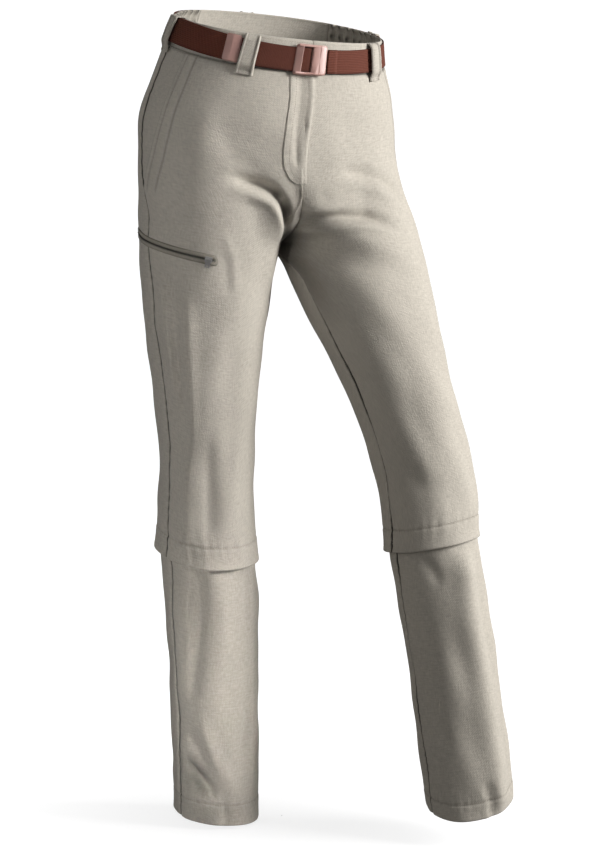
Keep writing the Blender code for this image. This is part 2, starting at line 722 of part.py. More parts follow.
def build_belt():
    """The web belt, its end tip and the buckle."""
    def place(distance, lift, across):
        return WAIST.point(distance, across, lift)
    add_object("belt_strap", strip_mesh(belt_path(), BELT_HEIGHT / 2, BELT_THICKNESS, place), belt_web())
    tip = [((TIP_START, TIP_END), (-TIP_HALF_HEIGHT, TIP_HALF_HEIGHT), (TIP_LIFT, TIP_FRONT))]
    add_waist_body("belt_tip", tip, [], buckle_plastic())
    edge = BUCKLE_HALF_HEIGHT
    length = (BUCKLE_START, BUCKLE_END)
    rail_lift = (LAID_LIFT + 0.0004, BUCKLE_FRONT - 0.0004)
    boxes = [
        ((BUCKLE_PLATE_START, BUCKLE_END), (-edge, edge), (BELT_OUTER_LIFT, BUCKLE_FRONT)),
        ((BUCKLE_START, BUCKLE_BAR_END), (-edge, edge), (BUCKLE_FRONT - BUCKLE_BAR_DEPTH, BUCKLE_FRONT)),
        (length, (edge - BUCKLE_RAIL, edge), rail_lift),
        (length, (-edge, BUCKLE_RAIL - edge), rail_lift),
    ]
    roller = (ROLLER_DISTANCE, ROLLER_LIFT, ROLLER_RADIUS, edge - BUCKLE_RAIL / 2)
    add_waist_body("belt_buckle", boxes, [roller], buckle_plastic())


def temporary_object(builder):
    mesh = bpy.data.meshes.new("shape")
    builder.to_mesh(mesh)
    builder.free()
    thing = bpy.data.objects.new("shape", mesh)
    bpy.context.scene.collection.objects.link(thing)
    return thing


def box_object(limits, bevel):
    """A box between three pairs of limits, its edges bevelled."""
    builder = bmesh.new()
    bmesh.ops.create_cube(builder, size=1.0)
    for vertex in builder.verts:
        vertex.co = [low + (high - low) * (c + 0.5) for (low, high), c in zip(limits, vertex.co)]
    bmesh.ops.bevel(builder, geom=list(builder.edges), offset=bevel, segments=1, affect="EDGES")
    return temporary_object(builder)


def rod_object(x, z, radius, half_length):
    """A round rod along Y."""
    builder = bmesh.new()
    bmesh.ops.create_cone(builder, cap_ends=True, segments=12, radius1=radius, radius2=radius,
                          depth=2 * half_length)
    for vertex in builder.verts:
        vertex.co = (x + vertex.co.x, vertex.co.z, z - vertex.co.y)
    bmesh.ops.recalc_face_normals(builder, faces=builder.faces)
    return temporary_object(builder)


def combine(first, others, operation="UNION"):
    """One mesh builder from several shapes, by exact Booleans; the shapes are removed."""
    for other in others:
        step = first.modifiers.new(operation, "BOOLEAN")
        step.operation = operation
        step.solver = "EXACT"
        step.object = other
    graph = bpy.context.evaluated_depsgraph_get()
    mesh = bpy.data.meshes.new_from_object(first.evaluated_get(graph))
    builder = bmesh.new()
    builder.from_mesh(mesh)
    bpy.data.meshes.remove(mesh)
    for shape in [first, *others]:
        bpy.data.objects.remove(shape)
    return builder


def add_waist_body(name, boxes, rods, finish):
    """Boxes and rods in waist coordinates (distance, height, lift), joined and bent on."""
    shapes = [box_object(limits, EDGE_BEVEL) for limits in boxes]
    shapes += [rod_object(*rod) for rod in rods]
    builder = combine(shapes[0], shapes[1:])
    low = min(v.co.x for v in builder.verts)
    high = max(v.co.x for v in builder.verts)
    cuts = round((high - low) / BEND_STEP)
    for i in range(1, cuts):
        whole = list(builder.verts) + list(builder.edges) + list(builder.faces)
        place = (low + (high - low) * i / cuts, 0, 0)
        bmesh.ops.bisect_plane(builder, geom=whole, plane_co=place, plane_no=(1, 0, 0), dist=1e-6)
    for vertex in builder.verts:
        vertex.co = WAIST.point(vertex.co.x, vertex.co.y, vertex.co.z)
    bmesh.ops.triangulate(builder, faces=builder.faces)
    return add_object(name, builder, finish)


def build_loop(name, centre):
    """A belt loop: a strip with rolled edges that stands off over the belt."""
    flat = np.array(LOOP_PATH)
    heading = np.gradient(flat, axis=0)
    section = [(-1.0, 0.0), (-0.8, 1.0), (-0.45, 0.0), (0.45, 0.0), (0.8, 1.0), (1.0, 0.0)]
    rings = []
    for (height, lift), (dh, dl) in zip(flat, heading):
        size = math.hypot(dh, dl)
        away = np.array([dl, -dh]) / size
        ring = []
        for across, roll in section:
            raised = away * (LOOP_CLOTH / 2 + LOOP_ROLL * roll)
            ring.append(WAIST.point(centre + across * LOOP_HALF_WIDTH, height + raised[0], lift + raised[1]))
        for across, _ in section[::-1]:
            sunk = -away * LOOP_CLOTH / 2
            ring.append(WAIST.point(centre + across * LOOP_HALF_WIDTH, height + sunk[0], lift + sunk[1]))
        rings.append(ring)
    builder = tube_mesh(rings)
    bmesh.ops.triangulate(builder, faces=builder.faces)
    return add_object(name, builder, trouser_cloth())


def zip_path(along):
    """The thigh zip's line on the right leg, from behind the side seam to the front."""
    t = ZIP_START[0] + (ZIP_END[0] - ZIP_START[0]) * along
    level = ZIP_START[1] + (ZIP_END[1] - ZIP_START[1]) * along + ZIP_SAG * math.sin(math.pi * along)
    return t, level


def zip_point(along, offset, lift):
    """A point beside the zip line: its place along it, a distance down from it, and a lift."""
    t, level = zip_path(along)
    point, normal = upper(RIGHT, t, level + offset)
    return point + normal * lift


def zip_length():
    ends = [zip_point(i / ZIP_STEPS, 0.0, 0.0) for i in range(ZIP_STEPS + 1)]
    return sum(np.linalg.norm(b - a) for a, b in zip(ends, ends[1:]))


def build_welts():
    """The narrow pocket welts: above the zip, round its front end and back below it."""
    length = zip_length()
    straight = [i / ZIP_STEPS for i in range(ZIP_STEPS + 1)]
    turns = [math.pi * i / WELT_TURNS - math.pi / 2 for i in range(1, WELT_TURNS)]
    lift = LAID_LIFT + WELT_CLOTH
    grids = []
    for height in (lift, LAID_LIFT):
        edges = []
        for radius in (WELT_INNER, WELT_OUTER):
            edge = [zip_point(along, -radius, height) for along in straight]
            edge += [zip_point(1 + radius * math.cos(a) / length, radius * math.sin(a), height)
                     for a in turns]
            edge += [zip_point(along, radius, height) for along in straight[::-1]]
            edges.append(edge)
        grids.append(edges)
    add_object("zip_welts", shell_mesh(*grids), trouser_cloth())


def build_coil():
    grids = [[[zip_point(i / ZIP_STEPS, offset, height) for i in range(ZIP_STEPS + 1)]
              for offset in (-COIL_HALF, COIL_HALF)]
             for height in (LAID_LIFT + COIL_CLOTH, LAID_LIFT)]
    add_object("zip_coil", shell_mesh(*grids), zip_tape())


def zip_frame():
    """The slider's frame: its place, back along the zip, down the leg, and outwards."""
    t, level = zip_path(SLIDER_AT)
    place, normal = upper(RIGHT, t, level)
    t_back, level_back = zip_path(SLIDER_AT - 0.02)
    behind = upper(RIGHT, t_back, level_back)[0]
    ahead = unit(place - behind)
    ahead = unit(ahead - normal * (ahead @ normal))
    return place, -ahead, np.cross(ahead, normal), normal


def build_thigh_zip():
    """The welts, the coil between them, the slider with its bridge, and the hinged pull tab."""
    build_welts()
    build_coil()
    place, back, down, out = zip_frame()
    half = [size / 2 for size in SLIDER_SIZE]
    base_top = SLIDER_LIFT + SLIDER_SIZE[2]
    post_top = BRIDGE_AXIS + BRIDGE_RADIUS
    base = box_object(((-half[0], half[0]), (-half[1], half[1]), (SLIDER_LIFT, base_top)), EDGE_BEVEL)
    posts = []
    for sign in (-1, 1):
        inner, outer = sorted((sign * BRIDGE_HALF, sign * (BRIDGE_HALF + BRIDGE_POST)))
        posts.append(box_object(
            ((inner, outer), (-BRIDGE_POST / 2, BRIDGE_POST / 2), (base_top - EDGE_BEVEL, post_top)), 0.0002))
    bridge = rod_along_x(BRIDGE_RADIUS, BRIDGE_HALF + BRIDGE_POST / 2, BRIDGE_AXIS)
    slider = add_object("zip_slider", combine(base, posts + [bridge]), zip_metal())
    slider.matrix_world = frame_matrix(place, back, down, out)
    tab = build_pull_mesh()
    pull = add_object("zip_pull", tab, zip_metal())
    pull.matrix_world = frame_matrix(place + out * BRIDGE_AXIS, back, down, out)


def rod_along_x(radius, half_length, z, segments=12):
    builder = bmesh.new()
    bmesh.ops.create_cone(builder, cap_ends=True, segments=segments, radius1=radius, radius2=radius,
                          depth=2 * half_length)
    for vertex in builder.verts:
        vertex.co = (vertex.co.z, vertex.co.y, z - vertex.co.x)
    bmesh.ops.recalc_face_normals(builder, faces=builder.faces)
    return temporary_object(builder)


def build_pull_mesh():
    """The pull tab about its hinge line: a barrel round the bridge and a flat tab with an eye."""
    barrel = rod_along_x(PULL_BARREL, PULL_BARREL_HALF, 0.0, 16)
    half = PULL_WIDTH / 2
    thick = PULL_CLOTH / 2
    drop = -PULL_BARREL + thick
    tab = box_object(((-half, half), (PULL_NECK, PULL_LENGTH), (drop - thick, drop + thick)), 0.0004)
    neck = box_object(((-PULL_BARREL_HALF, PULL_BARREL_HALF), (0.0, PULL_NECK + 0.001),
                       (drop - thick, drop + thick)), 0.0001)
    body = temporary_object(combine(barrel, [tab, neck]))
    bore = rod_along_x(PULL_BORE, PULL_WIDTH, 0.0, 16)
    eye_builder = bmesh.new()
    bmesh.ops.create_cone(eye_builder, cap_ends=True, segments=12, radius1=PULL_EYE, radius2=PULL_EYE,
                          depth=PULL_WIDTH)
    for vertex in eye_builder.verts:
        vertex.co.y += PULL_LENGTH - 2.2 * PULL_EYE
    tab_mesh = combine(body, [bore, temporary_object(eye_builder)], "DIFFERENCE")
    tilt_cos, tilt_sin = math.cos(PULL_TILT), math.sin(PULL_TILT)
    for vertex in tab_mesh.verts:
        x, y, z = vertex.co
        vertex.co = (x, y * tilt_cos + z * tilt_sin, z * tilt_cos - y * tilt_sin)
    return tab_mesh


def frame_matrix(place, back, down, out):
    """The transform of a small hard piece whose own axes run back along the zip, down and out."""
    matrix = Matrix.Identity(4)
    for column, axis in enumerate((back, down, out, place)):
        for row in range(3):
            matrix[row][column] = axis[row]
    return matrix


def clear_scene():
    for thing in list(bpy.data.objects):
        bpy.data.objects.remove(thing)


def main():
    clear_scene()
    for side in SIDE_NAMES:
        build_panels(side)
        build_lower_leg(side)
    build_waistband()
    build_fly()
    build_belt()
    for name, distance in LOOP_PLACES.items():
        build_loop(f"belt_loop_{name}", distance)
    build_thigh_zip()


main()
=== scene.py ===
"""Looks of the hiking trousers: cloth shells with their folds, seams and stitches, the belt and the zips.

The cloth surface is the same one that the solids are made from. A side (right or left), a place t
round that half (0 at the centre front, 0.5 at the side seam, 1 at the centre back) and a level
below the waist ring give a point on it. The wearer faces -Y and the wearer's left is +X.
"""

import logging
import math
from collections.abc import Callable, Sequence
from dataclasses import dataclass, field, replace
from enum import Enum
from types import SimpleNamespace

import bpy
import numpy as np
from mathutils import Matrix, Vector


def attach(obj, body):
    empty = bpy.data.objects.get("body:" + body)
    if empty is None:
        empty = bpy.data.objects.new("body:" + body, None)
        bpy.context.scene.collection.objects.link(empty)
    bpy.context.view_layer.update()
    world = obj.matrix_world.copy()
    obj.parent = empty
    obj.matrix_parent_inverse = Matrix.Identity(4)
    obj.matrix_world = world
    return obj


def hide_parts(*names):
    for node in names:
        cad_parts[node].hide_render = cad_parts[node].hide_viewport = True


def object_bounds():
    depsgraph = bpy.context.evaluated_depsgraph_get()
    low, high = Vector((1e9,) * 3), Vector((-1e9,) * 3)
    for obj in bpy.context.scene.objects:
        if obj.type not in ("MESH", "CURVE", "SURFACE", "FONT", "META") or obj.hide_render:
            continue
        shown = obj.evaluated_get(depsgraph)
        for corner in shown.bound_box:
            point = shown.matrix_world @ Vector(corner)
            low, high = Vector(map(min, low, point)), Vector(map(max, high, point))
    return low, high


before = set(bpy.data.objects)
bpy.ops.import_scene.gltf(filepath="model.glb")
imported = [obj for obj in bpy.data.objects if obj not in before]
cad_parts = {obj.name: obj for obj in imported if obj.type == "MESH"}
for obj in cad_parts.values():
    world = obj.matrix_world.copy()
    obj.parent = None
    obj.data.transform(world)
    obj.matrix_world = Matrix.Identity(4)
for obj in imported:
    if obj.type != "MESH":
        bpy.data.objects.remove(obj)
CAD_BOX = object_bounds()

LOG = logging.getLogger("trousers")
GARMENT = "garment"

RIGHT = -1
LEFT = 1
SIDE_NAMES = {RIGHT: "right", LEFT: "left"}

# Cloth and the levels down the garment that several pieces share
BAND_BOTTOM = 0.044
BAND_GAP = 0.0006
BAND_FRONT = 0.0398
BAND_RISE = 0.0055
BAND_FADE = 0.050
CROTCH_LEVEL = 0.262
FLAP_LEVEL = {RIGHT: 0.647, LEFT: 0.633}

# The place that the camera and the two large lights face
GARMENT_MIDDLE = (0.026, 0.0, -0.498)

# Half of the body ring, shared by both sides
TORSO_COLUMNS = "level x y half_width front back rise_back rise_right square seam_turn"
TORSO_ROWS = [
    (0.000, -0.002, 0.000, 0.131, 0.096, 0.096, 0.22, 0.06, 2.2, -0.02),
    (0.040, -0.0085, 0.000, 0.141, 0.100, 0.103, 0.20, 0.05, 2.2, -0.03),
    (0.075, -0.012, 0.000, 0.152, 0.106, 0.111, 0.16, 0.035, 2.2, -0.04),
    (0.110, -0.018, 0.000, 0.161, 0.110, 0.118, 0.11, 0.02, 2.2, -0.045),
    (0.150, -0.022, 0.000, 0.165, 0.111, 0.121, 0.06, 0.01, 2.2, -0.045),
    (0.190, -0.021, 0.000, 0.168, 0.108, 0.118, 0.02, 0.0, 2.2, -0.04),
    (0.225, -0.016, 0.000, 0.172, 0.104, 0.112, 0.0, 0.0, 2.2, 0.0),
    (0.262, -0.009, 0.000, 0.176, 0.100, 0.106, 0.0, 0.0, 2.2, 0.0),
]

# The rise seam in the middle plane, from the waist down to the crotch point
RISE_COLUMNS = "level front back"
RISE_ROWS = [
    (0.000, -0.096, 0.096),
    (0.040, -0.100, 0.103),
    (0.080, -0.107, 0.112),
    (0.120, -0.110, 0.119),
    (0.160, -0.109, 0.120),
    (0.200, -0.102, 0.111),
    (0.225, -0.090, 0.095),
    (0.243, -0.065, 0.069),
    (0.255, -0.032, 0.041),
    (0.262, 0.010, 0.010),
]

# Leg rings. Above the crotch they are what the body ring turns into
LEG_COLUMNS = "level x y half_width front back rise_back rise_out square seam_turn inner_turn"
UPPER_LEG_ROWS = {
    RIGHT: [
        (0.050, -0.088, 0.000, 0.080, 0.100, 0.104, 0.10, 0.0, 2.1, 0.000, 0.0),
        (0.200, -0.093, 0.002, 0.085, 0.099, 0.102, 0.02, 0.0, 2.1, -0.012, 0.0),
        (0.235, -0.094, 0.003, 0.086, 0.096, 0.099, 0.01, 0.0, 2.1, 0.012, 0.0),
        (0.262, -0.095, 0.004, 0.085, 0.092, 0.096, 0.00, 0.0, 2.1, 0.008, 0.0),
        (0.300, -0.098, 0.004, 0.081, 0.087, 0.091, 0.02, 0.0, 2.1, 0.020, 0.0),
        (0.360, -0.102, 0.003, 0.075, 0.081, 0.084, 0.05, 0.0, 2.1, 0.030, 0.0),
        (0.420, -0.104, 0.001, 0.067, 0.074, 0.077, 0.08, 0.0, 2.1, 0.036, 0.0),
        (0.480, -0.103, 0.001, 0.060, 0.067, 0.071, 0.12, 0.0, 2.1, 0.040, 0.0),
        (0.540, -0.102, 0.002, 0.057, 0.064, 0.066, 0.17, 0.0, 2.1, 0.036, 0.0),
        (0.600, -0.102, 0.004, 0.059, 0.066, 0.066, 0.21, 0.0, 2.1, 0.032, 0.0),
        (0.647, -0.100, 0.006, 0.062, 0.068, 0.068, 0.23, 0.0, 2.1, 0.030, 0.0),
    ],
    LEFT: [
        (0.050, 0.066, 0.000, 0.078, 0.100, 0.104, 0.10, 0.00, 2.1, 0.0, 0.000),
        (0.200, 0.070, -0.018, 0.078, 0.097, 0.102, 0.02, 0.00, 2.1, 0.0, 0.005),
        (0.262, 0.078, -0.034, 0.087, 0.091, 0.096, 0.00, 0.00, 2.1, 0.0, 0.012),
        (0.300, 0.084, -0.045, 0.085, 0.087, 0.091, -0.04, 0.03, 2.1, 0.0, 0.018),
        (0.360, 0.098, -0.064, 0.0755, 0.080, 0.083, -0.08, 0.07, 2.1, 0.0, 0.024),
        (0.420, 0.114, -0.081, 0.0655, 0.072, 0.075, -0.10, 0.10, 2.1, 0.0, 0.026),
        (0.480, 0.129, -0.098, 0.0595, 0.066, 0.068, -0.11, 0.12, 2.1, 0.0, 0.027),
        (0.540, 0.141, -0.114, 0.0580, 0.064, 0.064, -0.11, 0.14, 2.1, 0.0, 0.018),
        (0.590, 0.143, -0.127, 0.0575, 0.064, 0.063, -0.10, 0.15, 2.1, 0.0, 0.010),
        (0.633, 0.1415, -0.137, 0.0565, 0.064, 0.063, -0.10, 0.16, 2.1, 0.0, 0.002),
    ],
}
LOWER_LEG_ROWS = {
    RIGHT: [
        (0.590, -0.102, 0.004, 0.0552, 0.0620, 0.0620, 0.21, 0.0, 2.1, 0.032, 0.0),
        (0.627, -0.101, 0.005, 0.0570, 0.0630, 0.0630, 0.22, 0.0, 2.1, 0.030, 0.0),
        (0.660, -0.097, 0.007, 0.0572, 0.0620, 0.0630, 0.20, 0.0, 2.1, 0.028, 0.0),
        (0.700, -0.093, 0.011, 0.0580, 0.0620, 0.0630, 0.17, 0.01, 2.1, 0.026, 0.0),
        (0.760, -0.089, 0.016, 0.0568, 0.0610, 0.0620, 0.14, 0.02, 2.1, 0.024, 0.0),
        (0.840, -0.085, 0.020, 0.0545, 0.0580, 0.0590, 0.12, 0.03, 2.1, 0.022, 0.0),
        (0.920, -0.082, 0.023, 0.0535, 0.0570, 0.0580, 0.11, 0.05, 2.1, 0.022, 0.0),
        (0.988, -0.081, 0.025, 0.0527, 0.0570, 0.0580, 0.10, 0.06, 2.1, 0.022, 0.0),
    ],
    LEFT: [
        (0.580, 0.143, -0.125, 0.0530, 0.0600, 0.0590, -0.10, 0.15, 2.1, 0.0, 0.008),
        (0.613, 0.142, -0.133, 0.0525, 0.0600, 0.0590, -0.10, 0.16, 2.1, 0.0, 0.004),
        (0.650, 0.1445, -0.140, 0.0525, 0.0590, 0.0580, -0.07, 0.16, 2.1, 0.0, 0.000),
        (0.700, 0.1495, -0.149, 0.0525, 0.0580, 0.0580, -0.02, 0.17, 2.1, 0.0, -0.008),
        (0.760, 0.156, -0.159, 0.0525, 0.0570, 0.0570, 0.03, 0.18, 2.1, 0.0, -0.012),
        (0.840, 0.163, -0.170, 0.0535, 0.0560, 0.0570, 0.08, 0.20, 2.1, 0.0, -0.008),
        (0.900, 0.168, -0.179, 0.0540, 0.0560, 0.0570, 0.12, 0.22, 2.1, 0.0, 0.000),
        (0.950, 0.169, -0.187, 0.0515, 0.0550, 0.0560, 0.15, 0.24, 2.1, 0.0, 0.000),
    ],
}

Colour = tuple[float, float, float]
Place = tuple[float, float, float]
Stops = Callable[[float], tuple[np.ndarray, np.ndarray]]
Relief = Callable[[np.ndarray, np.ndarray, np.ndarray], tuple[np.ndarray, np.ndarray]]


class Layer(Enum):
    """Which cloth layer a point lies on."""

    UPPER = "upper"
    LOWER = "lower"


class Weave(Enum):
    """How a web or tape is woven."""

    RIB = "rib"
    TAPE = "tape"
    HATCH = "hatch"


@dataclass(frozen=True)
class FoldLine:
    """A soft trough (positive depth) or ridge (negative) along places of the unrolled cloth."""

    places: tuple[tuple[float, float], ...]
    width: float
    depth: float
    fade: float = 0.35
    crest: float = 0.0


# The girth that one turn of a half or a leg is unrolled to, and the folds of each layer and side
FOLD_GIRTH = 0.48
FOLDS = {
    (Layer.UPPER, RIGHT): [
        # Right groin: the trough from the hip to the crotch and the bulge of the thigh under it
        FoldLine(((0.1, 0.26), (0.112, 0.2375), (0.125, 0.215), (0.142, 0.201), (0.165, 0.194),
                  (0.2, 0.187), (0.25, 0.18)), 0.0085, 0.0125, 0.4, 0.55),
        FoldLine(((0.004, 0.192), (0.006, 0.2075), (0.065, 0.2225), (0.092, 0.2375),
                  (0.108, 0.246)), 0.0022, -0.0013, 0.1),
        FoldLine(((0.185, 0.215), (0.155, 0.262), (0.135, 0.33)), 0.014, -0.0040),
        FoldLine(((0.08, 0.272), (0.085, 0.33), (0.07, 0.4)), 0.014, 0.0025),
        FoldLine(((0.2, 0.15), (0.16, 0.185), (0.12, 0.205)), 0.012, 0.0018),
        # Right hip and pocket bag
        FoldLine(((0.31, 0.252), (0.285, 0.259), (0.268, 0.28), (0.262, 0.32)), 0.0036, -0.0018, 0.2),
        FoldLine(((0.3, 0.2725), (0.283, 0.29), (0.28, 0.325)), 0.006, 0.0012),
        FoldLine(((0.46, 0.218), (0.4, 0.232), (0.33, 0.245)), 0.012, 0.0014),
        FoldLine(((0.3, 0.09), (0.33, 0.15), (0.39, 0.19)), 0.016, 0.0012),
        # Right thigh, soft lines down the outside
        FoldLine(((0.462, 0.285), (0.455, 0.37), (0.44, 0.47)), 0.008, -0.0032),
        FoldLine(((0.425, 0.285), (0.428, 0.38), (0.425, 0.48)), 0.009, 0.0034),
        FoldLine(((0.385, 0.3), (0.39, 0.42), (0.405, 0.52)), 0.01, -0.0028),
        FoldLine(((0.3, 0.43), (0.33, 0.5), (0.35, 0.57)), 0.016, 0.0014),
        FoldLine(((0.235, 0.34), (0.265, 0.44), (0.28, 0.56)), 0.022, 0.0030),
        FoldLine(((0.345, 0.48), (0.335, 0.55), (0.325, 0.625)), 0.016, 0.0042),
        FoldLine(((0.41, 0.5), (0.42, 0.56), (0.425, 0.62)), 0.012, -0.0026),
        FoldLine(((0.445, 0.56), (0.43, 0.6), (0.425, 0.647)), 0.008, 0.0016, 0.5),
        FoldLine(((0.38, 0.585), (0.39, 0.647)), 0.008, 0.0012, 0.5),
        # Right side at the back
        FoldLine(((0.96, 0.262), (0.86, 0.28), (0.74, 0.268), (0.64, 0.25)), 0.013, 0.005, 0.25, 0.3),
        FoldLine(((0.94, 0.305), (0.86, 0.312), (0.76, 0.3)), 0.012, 0.0026),
        FoldLine(((0.9, 0.215), (0.8, 0.232), (0.7, 0.225)), 0.012, 0.0024),
        FoldLine(((0.66, 0.52), (0.74, 0.545), (0.84, 0.535)), 0.012, 0.0030),
        FoldLine(((0.64, 0.58), (0.74, 0.6), (0.86, 0.585)), 0.012, 0.0026),
        FoldLine(((0.58, 0.33), (0.6, 0.42), (0.59, 0.5)), 0.014, 0.0018),
        # The fly's shaded hollow
        FoldLine(((0.017, 0.03), (0.02, 0.105), (0.028, 0.17)), 0.006, 0.0022, 0.15),
    ],
    (Layer.UPPER, LEFT): [
        # Left groin, hip and thigh
        FoldLine(((-0.02, 0.233), (0.07, 0.235), (0.15, 0.23), (0.22, 0.23),
                  (0.3, 0.244)), 0.0062, 0.009, 0.35, 0.5),
        FoldLine(((0.13, 0.173), (0.2, 0.176), (0.26, 0.183), (0.36, 0.211)), 0.0075, 0.0045, 0.3, 0.5),
        # The fly's raised edge
        FoldLine(((0.004, 0.03), (0.006, 0.19)), 0.0026, -0.0011, 0.15),
        # Left groin and thigh, the finer lines
        FoldLine(((0.06, 0.205), (0.12, 0.212), (0.19, 0.208)), 0.009, 0.0016),
        FoldLine(((0.1, 0.262), (0.19, 0.256), (0.3, 0.276)), 0.016, -0.0030),
        FoldLine(((0.12, 0.3), (0.22, 0.292), (0.32, 0.315)), 0.014, 0.0016),
        FoldLine(((0.2, 0.4), (0.18, 0.48), (0.2, 0.55)), 0.018, 0.0012),
        FoldLine(((0.08, 0.53), (0.15, 0.56), (0.23, 0.562)), 0.012, 0.0014),
        FoldLine(((0.3, 0.47), (0.34, 0.54), (0.35, 0.6)), 0.014, 0.0014),
        # Left side at the back
        FoldLine(((0.97, 0.268), (0.88, 0.29), (0.76, 0.28), (0.64, 0.262)), 0.013, 0.005, 0.25, 0.3),
        FoldLine(((0.92, 0.225), (0.81, 0.24), (0.69, 0.238)), 0.012, 0.0024),
        FoldLine(((0.62, 0.48), (0.73, 0.505), (0.86, 0.5)), 0.012, 0.0036),
        FoldLine(((0.61, 0.54), (0.73, 0.56), (0.88, 0.548)), 0.012, 0.0040),
        FoldLine(((0.63, 0.59), (0.74, 0.606), (0.85, 0.6)), 0.01, 0.0026),
    ],
    (Layer.LOWER, RIGHT): [
        # Right lower leg
        FoldLine(((0.395, 0.635), (0.38, 0.7), (0.395, 0.76), (0.43, 0.84)), 0.014, 0.0062, 0.25, 0.3),
        FoldLine(((0.42, 0.665), (0.405, 0.69)), 0.006, -0.0016, 0.4),
        FoldLine(((0.29, 0.66), (0.3, 0.76), (0.34, 0.86)), 0.018, -0.0036),
        FoldLine(((0.395, 0.845), (0.335, 0.9), (0.245, 0.957)), 0.013, -0.0062),
        FoldLine(((0.475, 0.912), (0.41, 0.928), (0.33, 0.951)), 0.01, 0.0085, 0.35, 0.3),
        FoldLine(((0.46, 0.87), (0.4, 0.893), (0.35, 0.93)), 0.011, 0.0030),
        FoldLine(((0.19, 0.76), (0.19, 0.85), (0.23, 0.93)), 0.016, 0.0045),
        FoldLine(((0.18, 0.65), (0.19, 0.7), (0.21, 0.74)), 0.01, 0.0028),
        FoldLine(((0.3, 0.958), (0.29, 0.988)), 0.01, 0.002, 0.5),
        FoldLine(((0.64, 0.66), (0.62, 0.74), (0.6, 0.83)), 0.013, 0.0030),
        FoldLine(((0.8, 0.66), (0.76, 0.72), (0.77, 0.8)), 0.014, 0.0022),
        FoldLine(((0.56, 0.915), (0.66, 0.94), (0.76, 0.936)), 0.011, 0.0032),
    ],
    (Layer.LOWER, LEFT): [
        # Left lower leg
        FoldLine(((0.275, 0.64), (0.27, 0.72), (0.275, 0.8), (0.285, 0.9),
                  (0.29, 0.96)), 0.02, -0.0085, 0.12),
        FoldLine(((0.11, 0.634), (0.15, 0.655), (0.185, 0.676)), 0.009, 0.0024),
        FoldLine(((0.33, 0.64), (0.32, 0.72), (0.33, 0.8)), 0.012, 0.0020),
        FoldLine(((0.08, 0.79), (0.095, 0.825), (0.13, 0.87)), 0.012, 0.0018),
        FoldLine(((0.235, 0.905), (0.248, 0.93), (0.256, 0.96)), 0.0055, 0.0022, 0.35, 0.5),
        FoldLine(((0.26, 0.9), (0.28, 0.93), (0.29, 0.95)), 0.009, -0.002, 0.45),
        FoldLine(((0.6, 0.65), (0.62, 0.73), (0.64, 0.81)), 0.014, 0.0030),
        FoldLine(((0.78, 0.65), (0.8, 0.72), (0.78, 0.79)), 0.014, 0.0024),
        FoldLine(((0.56, 0.88), (0.66, 0.905), (0.76, 0.9)), 0.011, 0.0030),
    ],
}

# The cloth's general unevenness: waves round the body, waves down it, phase and height
SWELLS = (
    (9.0, 5.0, 0.4, 0.00050),
    (-6.0, 11.0, 2.1, 0.00045),
    (14.0, -4.0, 4.0, 0.00035),
    (4.0, 17.0, 5.2, 0.00030),
    (-19.0, 9.0, 1.3, 0.00022),
)


def smooth_step(value: np.ndarray) -> np.ndarray:
    """Ease from 0 to 1."""
    value = np.clip(value, 0.0, 1.0)
    return value * value * (3 - 2 * value)


def signed_power(value: np.ndarray, exponent: np.ndarray) -> np.ndarray:
    """A power that keeps the sign."""
    return np.sign(value) * np.abs(value) ** exponent


def unit(vectors: np.ndarray) -> np.ndarray:
    """Vectors of length one along the last axis."""
    return vectors / np.maximum(np.linalg.norm(vectors, axis=-1, keepdims=True), 1e-12)


def stacked(*parts: np.ndarray) -> np.ndarray:
    """Coordinates joined along a new last axis."""
    return np.stack(np.broadcast_arrays(*parts), axis=-1)


def passed(points: np.ndarray) -> np.ndarray:
    """The length along a line up to each of its points."""
    return np.concatenate([[0.0], np.cumsum(np.linalg.norm(np.diff(points, axis=0), axis=1))])


def beside(path: np.ndarray) -> np.ndarray:
    """The way to the left of a line in a plane, at each of its points."""
    heading = unit(np.gradient(path, axis=0))
    return np.c_[-heading[:, 1], heading[:, 0]]


class Profile:
    """A table of sections, read at any level on a smooth curve through its rows."""

    def __init__(self, columns: str, rows: Sequence[tuple[float, ...]]) -> None:
        """Keep the rows and the slopes between them.

        Args:
            columns: Column names, the level first.
            rows: One row of numbers for each level.
        """
        table = np.array(rows, dtype=float)
        self.names = columns.split()[1:]
        self.levels = table[:, 0]
        self.values = table[:, 1:]
        self.slopes = np.gradient(self.values, self.levels, axis=0)

    def at(self, level: np.ndarray) -> SimpleNamespace:
        """Read every column at some levels.

        Args:
            level: Levels of any shape.

        Returns:
            A namespace with an array for each column.
        """
        level = np.clip(level, self.levels[0], self.levels[-1])
        i = np.clip(np.searchsorted(self.levels, level, side="right") - 1, 0, len(self.levels) - 2)
        span = (self.levels[i + 1] - self.levels[i])[..., None]
        f = (level - self.levels[i])[..., None] / span
        start = (1 + 2 * f) * (1 - f) ** 2 * self.values[i] + f * (1 - f) ** 2 * span * self.slopes[i]
        end = f * f * (3 - 2 * f) * self.values[i + 1] + f * f * (f - 1) * span * self.slopes[i + 1]
        both = start + end
        return SimpleNamespace(**{name: both[..., k] for k, name in enumerate(self.names)})


